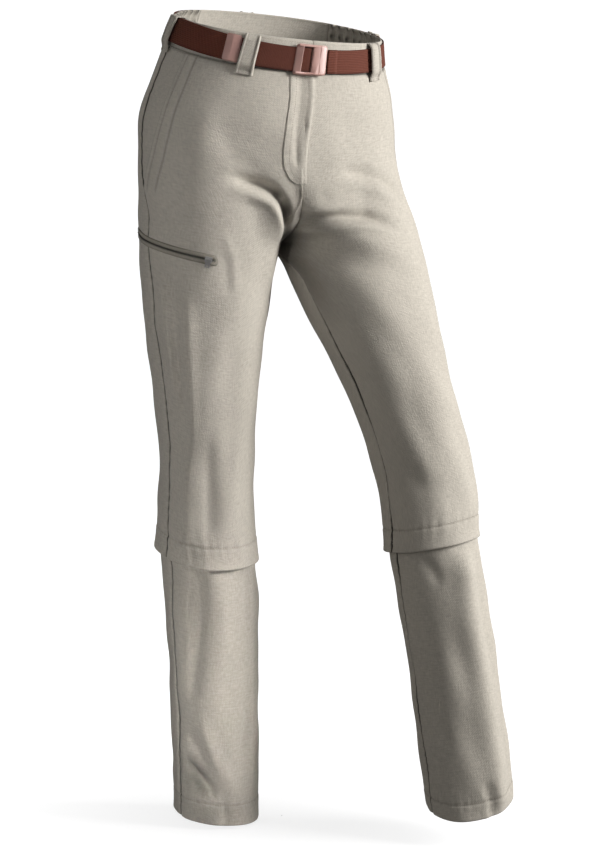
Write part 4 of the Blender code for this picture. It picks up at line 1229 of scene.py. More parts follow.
@dataclass
class ClothPiece:
    """One piece of cloth as a thin shell, from the places of its rows."""

    name: str
    layer: Layer
    levels: np.ndarray
    stops: Stops
    finish: ClothFinish
    start_edge: EdgeStyle = PLAIN_EDGE
    end_edge: EdgeStyle = PLAIN_EDGE
    top_edge: EdgeStyle = PLAIN_EDGE
    bottom_edge: EdgeStyle = PLAIN_EDGE
    lift: float = 0.0
    wall: float = 0.0012
    rim_out: float = 0.4
    relief: Relief | None = None
    middle: bool = False
    middle_spread: float = 0.05
    from_side_seam: bool = False
    area: float = field(default=0.0, init=False)
    cut: tuple[float, float] = field(default=(0.0, 0.0), init=False)

    def places(self) -> tuple[np.ndarray, np.ndarray, np.ndarray]:
        """Side, t and level of every point of the grid.

        Returns:
            Three arrays of the grid's shape.
        """
        rows = [self.stops(float(level)) for level in self.levels]
        side = np.array([row[0] for row in rows])
        t = np.array([row[1] for row in rows])
        level = np.repeat(self.levels[:, None], t.shape[1], axis=1)
        return side, t, raised(t, level) if self.layer is Layer.UPPER else level

    def build(self, shop: Workshop, replaces: Sequence[str]) -> bpy.types.Object:
        """Make the shell, its seams sunk, and give it to the workshop.

        Args:
            shop: Where pieces and materials are kept.
            replaces: The CAD nodes that the piece stands for.

        Returns:
            The finished object.
        """
        side, t, level = self.places()
        points, normals = FIGURE.surface(self.layer, side, t, level)
        if self.middle:
            other = FIGURE.surface(self.layer, -side, t, level)[1]
            normals = unit(normals + other * (1 - smooth_step(t / self.middle_spread))[..., None])
        steps_round = np.linalg.norm(np.diff(points, axis=1), axis=2)
        steps_down = np.linalg.norm(np.diff(points, axis=0), axis=2)
        round_way = np.concatenate([np.zeros((len(points), 1)), np.cumsum(steps_round, axis=1)], axis=1)
        down_way = np.concatenate([np.zeros((1, points.shape[1])), np.cumsum(steps_down, axis=0)], axis=0)
        depth = np.zeros(t.shape)
        seam_and_painted_shade = np.zeros(t.shape)
        edges = [
            (self.start_edge, round_way, down_way),
            (self.end_edge, round_way[:, -1:] - round_way, down_way),
            (self.top_edge, down_way, round_way),
            (self.bottom_edge, down_way[-1:, :] - down_way, round_way),
        ]
        for style, distance, along in edges:
            more, dark = style.relief(distance, along, level)
            depth = depth + more
            seam_and_painted_shade = np.maximum(seam_and_painted_shade, dark)
        # Painted shade in the hollows where the cloth lies in its own shade
        for hollow in PAINTED_HOLLOW_SHADES:
            if hollow.layer is self.layer:
                seam_and_painted_shade = np.maximum(seam_and_painted_shade, hollow.shade(side, t, level))
        if self.relief is not None:
            more, dark = self.relief(side, t, level)
            depth = depth + more
            seam_and_painted_shade = np.maximum(seam_and_painted_shade, dark)
        outer = points + normals * (self.lift - depth)[..., None]
        cells = steps_round[:-1] * steps_down[:, :-1]
        self.area = float(cells.sum())
        self.cut = (float(round_way[:, -1].max()), float(down_way[-1].max()))
        coordinates = stacked((t - 0.5) * FOLD_GIRTH if self.from_side_seam else round_way, down_way)
        mesh = self.shell(outer, normals, coordinates, seam_and_painted_shade)
        return shop.add(self.name, mesh, self.finish, replaces)

    def shell(self, outer: np.ndarray, normals: np.ndarray, uv: np.ndarray,
              seam_and_painted_shade: np.ndarray) -> bpy.types.Mesh:
        """The closed mesh: an outer and an inner grid joined by a rounded rim.

        Args:
            outer: Points of the outer face.
            normals: The way out at each.
            uv: Cloth coordinates.
            seam_and_painted_shade: Darkness of seam lines, and painted shade in hollows, in pleat bottoms and
                beside the pocket mouth.

        Returns:
            The mesh.
        """
        inner = outer - normals * self.wall
        rows, columns = outer.shape[:2]
        count = rows * columns
        faces = np.concatenate([grid_faces(rows, columns), grid_faces(rows, columns, count, flip=True)])
        rim = grid_rim(rows, columns)
        inward_rows = np.clip(np.arange(rows), 1, rows - 2)
        inward_columns = np.clip(np.arange(columns), 1, columns - 2)
        inward = (inward_rows[:, None] * columns + inward_columns[None, :]).reshape(-1)
        flat_outer, flat_inner = outer.reshape(-1, 3), inner.reshape(-1, 3)
        away = unit(flat_outer[rim] - flat_outer[inward[rim]])
        middle = (flat_outer[rim] + flat_inner[rim]) / 2 + away * self.wall * self.rim_out
        ring = 2 * count + np.arange(len(rim))
        after = np.roll(np.arange(len(rim)), -1)
        rim_outer = np.stack([rim[after], rim, ring, ring[after]], axis=1)
        rim_inner = np.stack([ring[after], ring, rim + count, rim[after] + count], axis=1)
        faces = np.concatenate([faces, rim_outer, rim_inner])
        everything = np.concatenate([flat_outer, flat_inner, middle])
        flat_uv = uv.reshape(-1, 2)
        coordinates = np.concatenate([flat_uv, flat_uv, flat_uv[rim]])
        flat_seam_and_painted_shade = np.clip(seam_and_painted_shade.reshape(-1), 0, 1)
        darkness = np.concatenate([flat_seam_and_painted_shade, flat_seam_and_painted_shade, flat_seam_and_painted_shade[rim]])
        if self.turned_in(flat_outer, faces[0], normals):
            faces = faces[:, ::-1]
        return mesh_from(self.name, everything, faces.tolist(), coordinates, {"seam_and_painted_shade": darkness})

    @staticmethod
    def turned_in(points: np.ndarray, face: np.ndarray, normals: np.ndarray) -> bool:
        """Whether a face of the outer grid points against the way out."""
        a, b, c = points[face[0]], points[face[1]], points[face[3]]
        return bool(np.cross(b - a, c - a) @ normals[0, 0] < 0)

    def declare(self) -> None:
        min(self.area, self.cut[0] * self.cut[1])


FIGURE = Figure()
WAIST = WaistLine(FIGURE)


def spread(count: int, tight: float) -> np.ndarray:
    """Stops from 0 to 1, closer together near both ends by a share."""
    even = np.linspace(0.0, 1.0, count + 1)
    return even - tight * np.sin(2 * np.pi * even) / (2 * np.pi)


def rows_between(start: float, end: float, step: float = 0.0030, tight: float = 0.45) -> np.ndarray:
    """Levels of rows from one level to another, closer together at both ends."""
    return start + (end - start) * spread(round(abs(end - start) / step), tight)


def row_of(side: int, t: np.ndarray) -> Stops:
    """The same places of one side at every level."""
    return lambda level: (np.full(len(t), side), t)


def raised(t: np.ndarray, level: np.ndarray) -> np.ndarray:
    """Levels moved so that the waistband's lower seam runs behind the belt and rises at the sides.

    Args:
        t: Places round the half.
        level: Levels with the seam at its plain depth.

    Returns:
        The moved levels.
    """
    seam = BAND_FRONT - BAND_RISE * np.sin(np.pi * np.minimum(t, 0.5)) ** 2
    fade = 1 - smooth_step((level - BAND_BOTTOM) / BAND_FADE)
    return np.where(level < BAND_BOTTOM, level * seam / BAND_BOTTOM, level + (seam - BAND_BOTTOM) * fade)


@dataclass
class Stitching:
    """Rows of stitches, or of zip coils, set along lines by Geometry Nodes."""

    name: str
    finish: HardFinish
    pitch: float = 0.0031
    size: tuple[float, float] = (0.0021, 0.00048)
    lines: list[np.ndarray] = field(default_factory=list)
    identifiers: dict[str, str] = field(default_factory=dict, init=False)

    def add(self, points: np.ndarray) -> None:
        """Add one line of points."""
        self.lines.append(points)

    def along(self, layer: Layer, side: int, t: np.ndarray, level: np.ndarray, lift: float) -> None:
        """Add a line over the cloth.

        Args:
            layer: Upper or lower cloth.
            side: The half.
            t: Places round the half.
            level: Levels before the waistband's seam is moved.
            lift: The lift off the cloth.
        """
        t, level = np.broadcast_arrays(t, level)
        points, normals = FIGURE.surface(layer, side, t, raised(t, level) if layer is Layer.UPPER else level)
        self.add(points + normals * lift)

    def group(self, material: bpy.types.Material) -> bpy.types.GeometryNodeTree:
        """The node group that sets one rounded stitch at each step of the lines.

        Args:
            material: The thread's material; not used.

        Returns:
            The group, with named inputs.
        """
        tree = bpy.data.node_groups.new(f"{self.name}_row", "GeometryNodeTree")
        sockets = {}
        for label, kind in (("Lines", "NodeSocketGeometry"), ("Pitch", "NodeSocketFloat"),
                            ("Size", "NodeSocketVector"), ("Finish", "NodeSocketMaterial")):
            sockets[label] = tree.interface.new_socket(label, in_out="INPUT", socket_type=kind)
        tree.interface.new_socket("Stitches", in_out="OUTPUT", socket_type="NodeSocketGeometry")
        given = tree.nodes.new("NodeGroupInput")
        resample = tree.nodes.new("GeometryNodeResampleCurve")
        resample.mode = "LENGTH"
        ball = tree.nodes.new("GeometryNodeMeshIcoSphere")
        ball.inputs["Radius"].default_value = 0.5
        ball.inputs["Subdivisions"].default_value = 1
        tangent = tree.nodes.new("GeometryNodeInputTangent")
        align = tree.nodes.new("FunctionNodeAlignRotationToVector")
        align.axis = "X"
        place = tree.nodes.new("GeometryNodeInstanceOnPoints")
        realize = tree.nodes.new("GeometryNodeRealizeInstances")
        paint = tree.nodes.new("GeometryNodeSetMaterial")
        result = tree.nodes.new("NodeGroupOutput")
        for start, end in (
            (given.outputs["Lines"], resample.inputs["Curve"]),
            (given.outputs["Pitch"], resample.inputs["Length"]),
            (resample.outputs["Curve"], place.inputs["Points"]),
            (ball.outputs["Mesh"], place.inputs["Instance"]),
            (tangent.outputs["Tangent"], align.inputs["Vector"]),
            (align.outputs["Rotation"], place.inputs["Rotation"]),
            (given.outputs["Size"], place.inputs["Scale"]),
            (place.outputs["Instances"], realize.inputs["Geometry"]),
            (realize.outputs["Geometry"], paint.inputs["Geometry"]),
            (given.outputs["Finish"], paint.inputs["Material"]),
            (paint.outputs["Geometry"], result.inputs["Stitches"]),
        ):
            tree.links.new(start, end)
        self.identifiers = {label: socket.identifier for label, socket in sockets.items()}
        return tree

    def build(self, shop: Workshop) -> bpy.types.Object:
        """Set the stitches and keep them as a plain mesh.

        Args:
            shop: Where pieces and materials are kept.

        Returns:
            The finished object.
        """
        curve = bpy.data.curves.new(f"{self.name}_lines", "CURVE")
        curve.dimensions = "3D"
        for points in self.lines:
            spline = curve.splines.new("POLY")
            spline.points.add(len(points) - 1)
            spline.points.foreach_set("co", np.c_[points, np.ones(len(points))].astype(np.float32).ravel())
        guide = bpy.data.objects.new(f"{self.name}_lines", curve)
        bpy.context.scene.collection.objects.link(guide)
        material = shop.material(self.finish)
        row = guide.modifiers.new("row", "NODES")
        row.node_group = self.group(material)
        length, thickness = self.size
        row[self.identifiers["Pitch"]] = self.pitch
        row[self.identifiers["Size"]] = (length, thickness, thickness)
        row[self.identifiers["Finish"]] = material
        graph = bpy.context.evaluated_depsgraph_get()
        mesh = bpy.data.meshes.new_from_object(guide.evaluated_get(graph))
        mesh.name = self.name
        mesh.shade_smooth()
        bpy.data.objects.remove(guide)
        return shop.add(self.name, mesh, self.finish)


@dataclass
class Trousers:
    """The upper cloth: front and back panels, pocket facings and the fly."""

    shop: Workshop
    threads: Stitching
    top: float = BAND_BOTTOM + BAND_GAP
    front_columns: int = 74
    back_columns: int = 93
    column_tight: float = 0.6
    flap_hem: float = 0.0265
    pocket_top: float = 0.375
    pocket_bottom: float = 0.206
    pocket_curve: float = 1.8
    mouth_share: float = 0.17
    mouth_columns: int = 27
    mouth_roll: float = 0.0011
    mouth_groove: float = 0.0006
    mouth_band: float = 0.0006
    mouth_width: float = 0.0225
    mouth_fade: float = 0.012
    mouth_edge: tuple[float, float] = (0.0015, 0.0026)
    # Place, width and amount of the shade lines painted beside the pocket mouth: at its edge, in the stitched
    # groove and at the doubled band's edge
    mouth_lines: tuple[tuple[float, float, float], ...] = (
        (0.0, 0.0007, 0.5), (0.0065, 0.0012, 0.35), (0.0235, 0.0013, 0.45))
    mouth_insets: tuple[float, float] = (0.0135, 0.0470)
    facing_columns: int = 20
    facing_end: float = 0.0055
    facing_lap: float = 0.004
    facing_inset: float = 0.0014
    facing_wall: float = 0.0007
    fly_stitch_side: float = 0.0225
    fly_edge_side: float = 0.0050
    fly_bottom: float = 0.1900
    fly_curve: float = 0.040
    fly_point: float = 0.003
    fly_lift: float = 0.0005
    fly_wall: float = 0.0006
    fly_columns: int = 22
    fly_insets: tuple[float, float] = (0.0022, 0.0080)
    rise_line: tuple[tuple[float, float], ...] = (
        (0.192, 0.004), (0.2075, 0.006), (0.2225, 0.065), (0.2375, 0.092), (0.2460, 0.108))
    rise_insets: tuple[float, float] = (0.004, 0.014)
    centre_back_inset: float = 0.006
    seam_points: int = 70
    flap_points: int = 160

    def build(self) -> None:
        """Build both sides and the fly."""
        for side in SIDE_NAMES:
            self.front(side)
            self.back(side)
            self.facing(side)
            around = np.linspace(0.004, 0.996, self.flap_points)
            self.threads.along(Layer.UPPER, side, around, FLAP_LEVEL[side] - self.flap_hem, 0.0)
        self.fly()
        self.rise_stitches()

    def flap(self, side: int) -> EdgeStyle:
        """The knee flap's hem."""
        return EdgeStyle(hem=self.flap_hem, pucker=0.0005, pucker_pitch=0.012, raise_edge=0.0006, phase=side)

    def mouth(self, level: np.ndarray) -> np.ndarray:
        """The slanted pocket edge, from the waistband to the side seam."""
        down = np.clip((level - BAND_BOTTOM) / (self.pocket_bottom - BAND_BOTTOM), 0.0, 1.0)
        return self.pocket_top + (0.5 - self.pocket_top) * down ** self.pocket_curve

    def front(self, side: int) -> None:
        """One front panel, whose outer edge is the pocket mouth and then the side seam.

        Args:
            side: The half.
        """
        plain = spread(self.front_columns, self.column_tight) * (1 - self.mouth_share)
        dense = 1 - self.mouth_share * np.linspace(1.0, 0.0, self.mouth_columns)[1:]
        columns = np.concatenate([plain, dense])
        pocket_seam = replace(SIDE_SEAM, full_from=self.pocket_bottom - 0.008, share_above=0.0)
        piece = ClothPiece(
            f"front_cloth_{SIDE_NAMES[side]}", Layer.UPPER, rows_between(self.top, FLAP_LEVEL[side]),
            lambda level: (np.full(len(columns), side), columns * self.mouth(level)), CLOTH_FINISH,
            start_edge=RISE_SEAM, end_edge=pocket_seam, top_edge=BAND_SEAM, bottom_edge=self.flap(side),
            relief=self.mouth_relief, from_side_seam=True)
        thing = piece.build(self.shop, [f"front_panel_{SIDE_NAMES[side]}"])
        piece.declare()
        down = np.linspace(BAND_BOTTOM + 0.002, self.pocket_bottom - 0.004, 60)
        for inset in self.mouth_insets:
            self.threads.along(Layer.UPPER, side, self.mouth(down) - inset, down, -0.0002)

    def mouth_relief(self, side: np.ndarray, t: np.ndarray,
                     level: np.ndarray) -> tuple[np.ndarray, np.ndarray]:
        """The doubled cloth beside the pocket mouth, with its rolled edge and two rows of stitches.

        Args:
            side: The half of each place; not used.
            t: Places round the half, the last column on the mouth.
            level: Levels below the waist.

        Returns:
            Depths in metres, and shade from 0 to 1.
        """
        away = (t[:, -1:] - t) * FOLD_GIRTH
        upper = 1 - smooth_step((level - self.pocket_bottom) / self.mouth_fade + 1)
        band = -self.mouth_band * (1 - smooth_step((away - self.mouth_width) / 0.0016))
        roll = -self.mouth_roll * np.exp(-((away - self.mouth_edge[0]) / self.mouth_edge[1]) ** 2)
        # Dark lines painted where shade falls: at the mouth's edge, in the stitched groove and at the doubled
        # band's edge
        lines = [np.exp(-((away - place) / width) ** 2) for place, width, _ in self.mouth_lines]
        dark = sum(amount * line for line, (_, _, amount) in zip(lines, self.mouth_lines))
        return upper * (band + roll + self.mouth_groove * lines[1]), upper * dark

    def back(self, side: int) -> None:
        """One back panel, from the side seam to the centre back and the inner seam.

        Args:
            side: The half.
        """
        columns = spread(self.back_columns, self.column_tight)
        piece = ClothPiece(
            f"back_cloth_{SIDE_NAMES[side]}", Layer.UPPER, rows_between(self.top, FLAP_LEVEL[side]),
            row_of(side, 0.5 + 0.5 * columns), CLOTH_FINISH, start_edge=SIDE_SEAM, end_edge=SEAM,
            top_edge=BAND_SEAM, bottom_edge=self.flap(side), from_side_seam=True)
        thing = piece.build(self.shop, [f"back_panel_{SIDE_NAMES[side]}"])
        piece.declare()
        down = np.linspace(BAND_BOTTOM + 0.002, CROTCH_LEVEL - 0.030, self.seam_points)
        self.threads.along(Layer.UPPER, side, 1.0 - self.centre_back_inset, down, 0.0001)

    def facing(self, side: int) -> None:
        """The cloth seen inside the slanted pocket mouth.

        Args:
            side: The half.
        """
        columns = np.linspace(0.0, 1.0, self.facing_columns)

        def stops(level: float) -> tuple[np.ndarray, np.ndarray]:
            """Places of a row, from under the front to the side seam."""
            start = self.mouth(level) - self.facing_lap
            return np.full(len(columns), side), start + (0.5 - start) * columns

        piece = ClothPiece(
            f"pocket_cloth_{SIDE_NAMES[side]}", Layer.UPPER,
            rows_between(self.top, self.pocket_bottom - self.facing_end), stops, CLOTH_FINISH,
            end_edge=SIDE_SEAM, top_edge=BAND_SEAM, lift=-self.facing_inset, wall=self.facing_wall,
            from_side_seam=True)
        thing = piece.build(self.shop, [f"hip_pocket_facing_{SIDE_NAMES[side]}"])
        piece.declare()

    def fly_width(self, level: float) -> float:
        """The distance from the centre to the fly's stitched side, which curves in at the bottom."""
        down = max(level - (self.fly_bottom - self.fly_curve), 0.0) / self.fly_curve
        return self.fly_stitch_side * math.sqrt(max(1 - down * down, 0.0)) + self.fly_point

    def fly_stops(self, level: float) -> tuple[np.ndarray, np.ndarray]:
        """Places of a row of the fly, from the stitched side over the middle to the edge.

        Args:
            level: The row's level.

        Returns:
            The side and the t of each place.
        """
        stitched = FIGURE.t_at(RIGHT, level, self.fly_width(level))
        edge = FIGURE.t_at(LEFT, level, self.fly_edge_side)
        places = -stitched + (stitched + edge) * np.linspace(0.0, 1.0, self.fly_columns)
        return np.where(places > 0, LEFT, RIGHT), np.abs(places)

    def fly(self) -> None:
        """The placket over the front zip, with its curved line of stitches."""
        piece = ClothPiece(
            "fly_cloth", Layer.UPPER, rows_between(self.top, self.fly_bottom), self.fly_stops, CLOTH_FINISH,
            start_edge=EdgeStyle(raise_edge=0.0004), end_edge=EdgeStyle(raise_edge=0.0003),
            top_edge=BAND_SEAM, lift=self.fly_lift, wall=self.fly_wall, middle=True)
        thing = piece.build(self.shop, ["fly_placket"])
        piece.declare()
        down = np.linspace(BAND_BOTTOM + 0.002, self.fly_bottom - 0.001, self.seam_points)
        for inset in self.fly_insets:
            widths = [max(self.fly_width(level) - inset, 0.0005) for level in down]
            places = [FIGURE.t_at(RIGHT, level, width) for level, width in zip(down, widths)]
            self.threads.along(Layer.UPPER, RIGHT, np.array(places), down, self.fly_lift + 0.0002)

    def rise_stitches(self) -> None:
        """Double stitches beside the rise seam below the fly."""
        down = np.linspace(self.fly_bottom + 0.002, self.rise_line[-1][0] - 0.002, 40)
        middle = np.interp(down, *np.array(self.rise_line).T)
        for inset in self.rise_insets:
            self.threads.along(Layer.UPPER, RIGHT, middle + inset, down, 0.0002)


@dataclass
class LowerLeg:
    """A zip-off lower leg and the zip that joins it under the knee flap."""

    shop: Workshop
    threads: Stitching
    coils: Stitching
    side: int
    hem_level: float
    hem_height: float
    columns: int = 72
    column_tight: float = 0.6
    hem_points: int = 150
    zip_depth: float = 0.020
    zip_points: int = 120
    tape_half_width: float = 0.004
    tape_gap: float = 0.0003
    flap_thickness: float = 0.0016
    coil_drop: float = 0.009
    coil_lift: float = 0.0008

    def __post_init__(self) -> None:
        """Set the name of the side and the level of the leg's top."""
        self.name = SIDE_NAMES[self.side]
        self.top = FLAP_LEVEL[self.side] - self.zip_depth

    def build(self) -> None:
        """Build the front, the back and the zip."""
        bottom = EdgeStyle(hem=self.hem_height, pucker=0.00045, pucker_pitch=0.011, phase=2.0 * self.side)
        columns = 0.5 * spread(self.columns, self.column_tight)
        for part, start, edges in (("front", 0.0, (SEAM, SIDE_SEAM)), ("back", 0.5, (SIDE_SEAM, SEAM))):
            piece = ClothPiece(
                f"lower_{part}_cloth_{self.name}", Layer.LOWER, rows_between(self.top, self.hem_level),
                row_of(self.side, start + columns), CLOTH_FINISH, *edges, BAND_SEAM, bottom)
            thing = piece.build(self.shop, [f"lower_{part}_{self.name}"])
            piece.declare()
        around = np.linspace(0.004, 0.996, self.hem_points)
        self.threads.along(Layer.LOWER, self.side, around, self.hem_level - self.hem_height, 0.0)
        self.zip()

    def ring(self, layer: Layer, level: float, lift: float) -> np.ndarray:
        """A closed ring of points beside a layer at one level.

        Args:
            layer: Upper or lower cloth.
            level: The ring's level.
            lift: Its lift off the layer.

        Returns:
            The ring's points.
        """
        around = np.linspace(0.0, 1.0, self.zip_points, endpoint=False)
        points, normals = FIGURE.surface(layer, self.side, around, level)
        return points + normals * lift

    def zip(self) -> None:
        """The tape ring between the flap and the lower leg, with its coil."""
        crossing = (self.top - self.tape_half_width, self.top, self.top + self.tape_half_width)
        depth = self.flap_thickness + self.tape_gap
        under_flap = [self.ring(Layer.UPPER, level, -depth) for level in crossing]
        over_leg = [self.ring(Layer.LOWER, level, self.tape_gap) for level in crossing]
        stack = np.array(under_flap + over_leg[::-1] + under_flap[:1])
        faces = grid_faces(len(stack), self.zip_points, closed=True, flip=self.side == LEFT)
        faces %= self.zip_points * (len(stack) - 1)
        stack = stack[:-1]
        around = np.linspace(0.0, 1.0, self.zip_points, endpoint=False)
        uv = stacked(around[None, :] * 0.4, np.arange(len(stack))[:, None] * self.tape_half_width)
        name = f"knee_zip_tape_{self.name}"
        mesh = mesh_from(name, stack.reshape(-1, 3), faces.tolist(), uv.reshape(-1, 2))
        self.shop.add(name, mesh, TAPE_FINISH, [f"knee_zip_{self.name}"])
        self.coils.add(self.ring(Layer.LOWER, self.top + self.coil_drop, self.coil_lift))


@dataclass
class Waistband:
    """The front, gathered and back bands, with their top edge and the stitches of the front ones."""

    shop: Workshop
    threads: Stitching
    wall: float = 0.0020
    rows: int = 28
    front_columns: int = 80
    back_columns: tuple[int, int] = (40, 60)
    gather_start: float = 0.46
    gather_end: dict[int, float] = field(default_factory=lambda: {RIGHT: 0.82, LEFT: 0.72})
    gather_pitch: float = 0.013
    gather_depth: float = 0.0036
    pleat_shade: float = 0.9
    gather_columns: int = 150
    pleat_sway: float = 0.12
    pleat_slack: float = 0.25
    slack_pitch: float = 0.0145
    shade_from: float = 0.020
    shade_fade: float = 0.008
    stitch_inset: tuple[float, float] = (0.0035, 0.004)
    stitch_points: int = 90

    def __post_init__(self) -> None:
        """Set the levels of the bands' rows."""
        self.levels = np.linspace(0.0, BAND_BOTTOM - BAND_GAP, self.rows)

    def gathers(self, side: np.ndarray, t: np.ndarray, level: np.ndarray) -> tuple[np.ndarray, np.ndarray]:
        """How far the elastic's pleats sink at places of a side band, and the shade painted into their bottoms.

        Args:
            side: The half of each place.
            t: Places round the half.
            level: Levels below the waist.

        Returns:
            Depths in metres, and shade from 0 to 1.
        """
        hand = int(side.flat[0])
        stretch = WAIST.distance(hand, self.gather_end[hand]) - WAIST.distance(hand, self.gather_start)
        count = round(stretch / self.gather_pitch)
        phase = (t - self.gather_start) / (self.gather_end[hand] - self.gather_start) * count
        ends = np.sin(np.pi * np.clip(phase, 0, count) / count)
        sway = self.pleat_sway * np.sin(level / 0.006 + 3 * phase) * ends
        pleat = (1 - np.cos(2 * np.pi * (phase + sway))) / 2
        between = 1 - self.pleat_slack * (1 - np.cos(2 * np.pi * level / self.slack_pitch))
        share = pleat * between
        # Painted shade in the pleat bottoms, kept under the belt and faded out towards the band's lower edge
        lit = smooth_step((level - self.shade_from) / self.shade_fade)
        return self.gather_depth * share, self.pleat_shade * share ** 3 * (1 - lit)

    def build(self) -> None:
        """Build the five bands and their stitches."""
        for side, name in SIDE_NAMES.items():
            front = spread(self.front_columns, 0.4) * self.gather_start
            self.band(f"front_band_{name}", f"waistband_front_{name}", row_of(side, front))
            span = np.linspace(self.gather_start, self.gather_end[side], self.gather_columns)
            self.band(f"gathered_band_{name}", f"waistband_side_{name}", row_of(side, span),
                      GATHER_FINISH, self.gathers, "gathered")
            for level in (self.stitch_inset[0], BAND_BOTTOM - self.stitch_inset[1]):
                around = np.linspace(0.002, self.gather_start, self.stitch_points)
                self.threads.along(Layer.UPPER, side, around, level, 0.0001)
        right = np.linspace(self.gather_end[RIGHT], 1.0, self.back_columns[0])
        left = np.linspace(1.0, self.gather_end[LEFT], self.back_columns[1])[1:]
        sides = np.concatenate([np.full(len(right), RIGHT), np.full(len(left), LEFT)])
        places = np.concatenate([right, left])
        self.band("back_band", "waistband_back", lambda level: (sides, places))

    def band(self, name: str, node: str, stops: Stops, finish: ClothFinish = CLOTH_FINISH,
             relief: Relief | None = None, held: str = "stretched") -> None:
        """Build one band.

        Args:
            name: The piece's name.
            node: The CAD node that it stands for.
            stops: The places of a row.
            finish: The cloth.
            relief: Pleats, or None for a plain band.
            held: How the cloth is held; not used.
        """
        piece = ClothPiece(
            name, Layer.UPPER, self.levels, stops, finish,
            start_edge=EdgeStyle(dip=0.0006, shade=0.4), end_edge=EdgeStyle(dip=0.0006, shade=0.4),
            top_edge=EdgeStyle(dip=0.0007, dip_width=0.0016), bottom_edge=EdgeStyle(dip=0.0010, shade=0.7),
            wall=self.wall, relief=relief)
        thing = piece.build(self.shop, [node])
        piece.declare()


def half_turn(distance: float, lift: float, radius: float, towards: int,
              steps: int = 8) -> list[tuple[float, float]]:
    """Points of a fold's half circle.

    Args:
        distance: Distance of the circle's centre round the waist.
        lift: Lift of its centre.
        radius: Its radius.
        towards: 1 to bulge along the distance, -1 against it.
        steps: The number of points.

    Returns:
        Pairs of distance and lift.
    """
    angles = [math.pi * (i + 0.5) / steps - math.pi / 2 for i in range(steps)]
    points = [(distance + towards * radius * math.cos(a), lift + radius * math.sin(a)) for a in angles]
    return points if towards > 0 else points[::-1]


@dataclass(frozen=True)
class Slab:
    """A hard plate bent round the waist, with round corners, a rolled edge and a domed front."""

    distances: tuple[float, float]
    heights: tuple[float, float]
    lifts: tuple[float, float]
    corner: float = 0.003
    edge: float = 0.0012
    dome: float = 0.0
    roof: float = 0.0
    roof_place: float = 0.0
    lean: float = 0.0

    def outline(self, inset: float) -> np.ndarray:
        """The plate's round-cornered outline.

        Args:
            inset: How far it is moved in.

        Returns:
            Pairs of distance and height.
        """
        (left, right), (low, high) = self.distances, self.heights
        radius = max(self.corner - inset, 0.0002)
        turns = np.linspace(0, np.pi / 2, 7)
        points = []
        for quarter, (x, y) in enumerate(((right, high), (left, high), (left, low), (right, low))):
            cx = x - math.copysign(radius + inset, x - (left + right) / 2)
            cy = y - math.copysign(radius + inset, y - (low + high) / 2)
            angles = turns + quarter * np.pi / 2
            points.append(np.c_[cx + radius * np.cos(angles), cy + radius * np.sin(angles)])
        return self.filled(np.concatenate(points))

    @staticmethod
    def filled(corners: np.ndarray) -> np.ndarray:
        """An outline with points along its straight stretches too.

        Args:
            corners: The outline.

        Returns:
            The outline with more points.
        """
        closed = np.concatenate([corners, corners[:1]])
        points = []
        for start, end in zip(closed, closed[1:]):
            steps = max(int(np.linalg.norm(end - start) / 0.002), 1)
            points += [start + (end - start) * i / steps for i in range(steps)]
        return np.array(points)

    def rings(self) -> np.ndarray:
        """Rings from the back of the plate to the middle of its front.

        Returns:
            Distance, height and lift of each point, ring by ring.
        """
        low, high = self.lifts
        base = self.outline(0.0)
        centre = base.mean(axis=0)
        reach = np.max(np.abs(base - centre), axis=0)
        rings = [np.c_[centre + (base - centre) * 0.02, np.full(len(base), low)],
                 np.c_[self.inward(base, centre, self.edge * 0.5), np.full(len(base), low)],
                 np.c_[base, np.full(len(base), low + self.edge * 0.5)]]
        for angle in np.linspace(0, np.pi / 2, 5):
            inset = self.edge * (1 - math.cos(angle))
            ring = self.inward(base, centre, inset)
            rings.append(np.c_[ring, self.front(ring, centre, reach) - self.edge * (1 - math.sin(angle))])
        for share in (0.75, 0.5, 0.25, 0.02):
            ring = centre + (self.inward(base, centre, self.edge) - centre) * share
            rings.append(np.c_[ring, self.front(ring, centre, reach)])
        return np.array(rings)

    @staticmethod
    def inward(base: np.ndarray, centre: np.ndarray, inset: float) -> np.ndarray:
        """An outline moved towards its centre by an inset on both axes."""
        return base - np.sign(base - centre) * np.minimum(inset, np.abs(base - centre))

    def front(self, ring: np.ndarray, centre: np.ndarray, reach: np.ndarray) -> np.ndarray:
        """The lift of the domed front.

        Args:
            ring: Points of a ring.
            centre: The plate's middle.
            reach: Its half width and half height.

        Returns:
            The lift of each point.
        """
        share = (ring - centre) / reach
        domed = self.dome * (share[:, 0] ** 2 + 0.35 * share[:, 1] ** 2)
        return self.lifts[1] - domed - self.roof * np.abs(share[:, 0] - self.roof_place)

    def mesh_parts(self) -> tuple[np.ndarray, list[list[int]]]:
        """Build the closed plate.

        Returns:
            Its points in space and its faces.
        """
        rings = self.rings()
        distance = rings[..., 0] + self.lean * rings[..., 1]
        points = WAIST.point(distance, rings[..., 1], rings[..., 2]).reshape(-1, 3)
        return points, capped_tube(*rings.shape[:2])


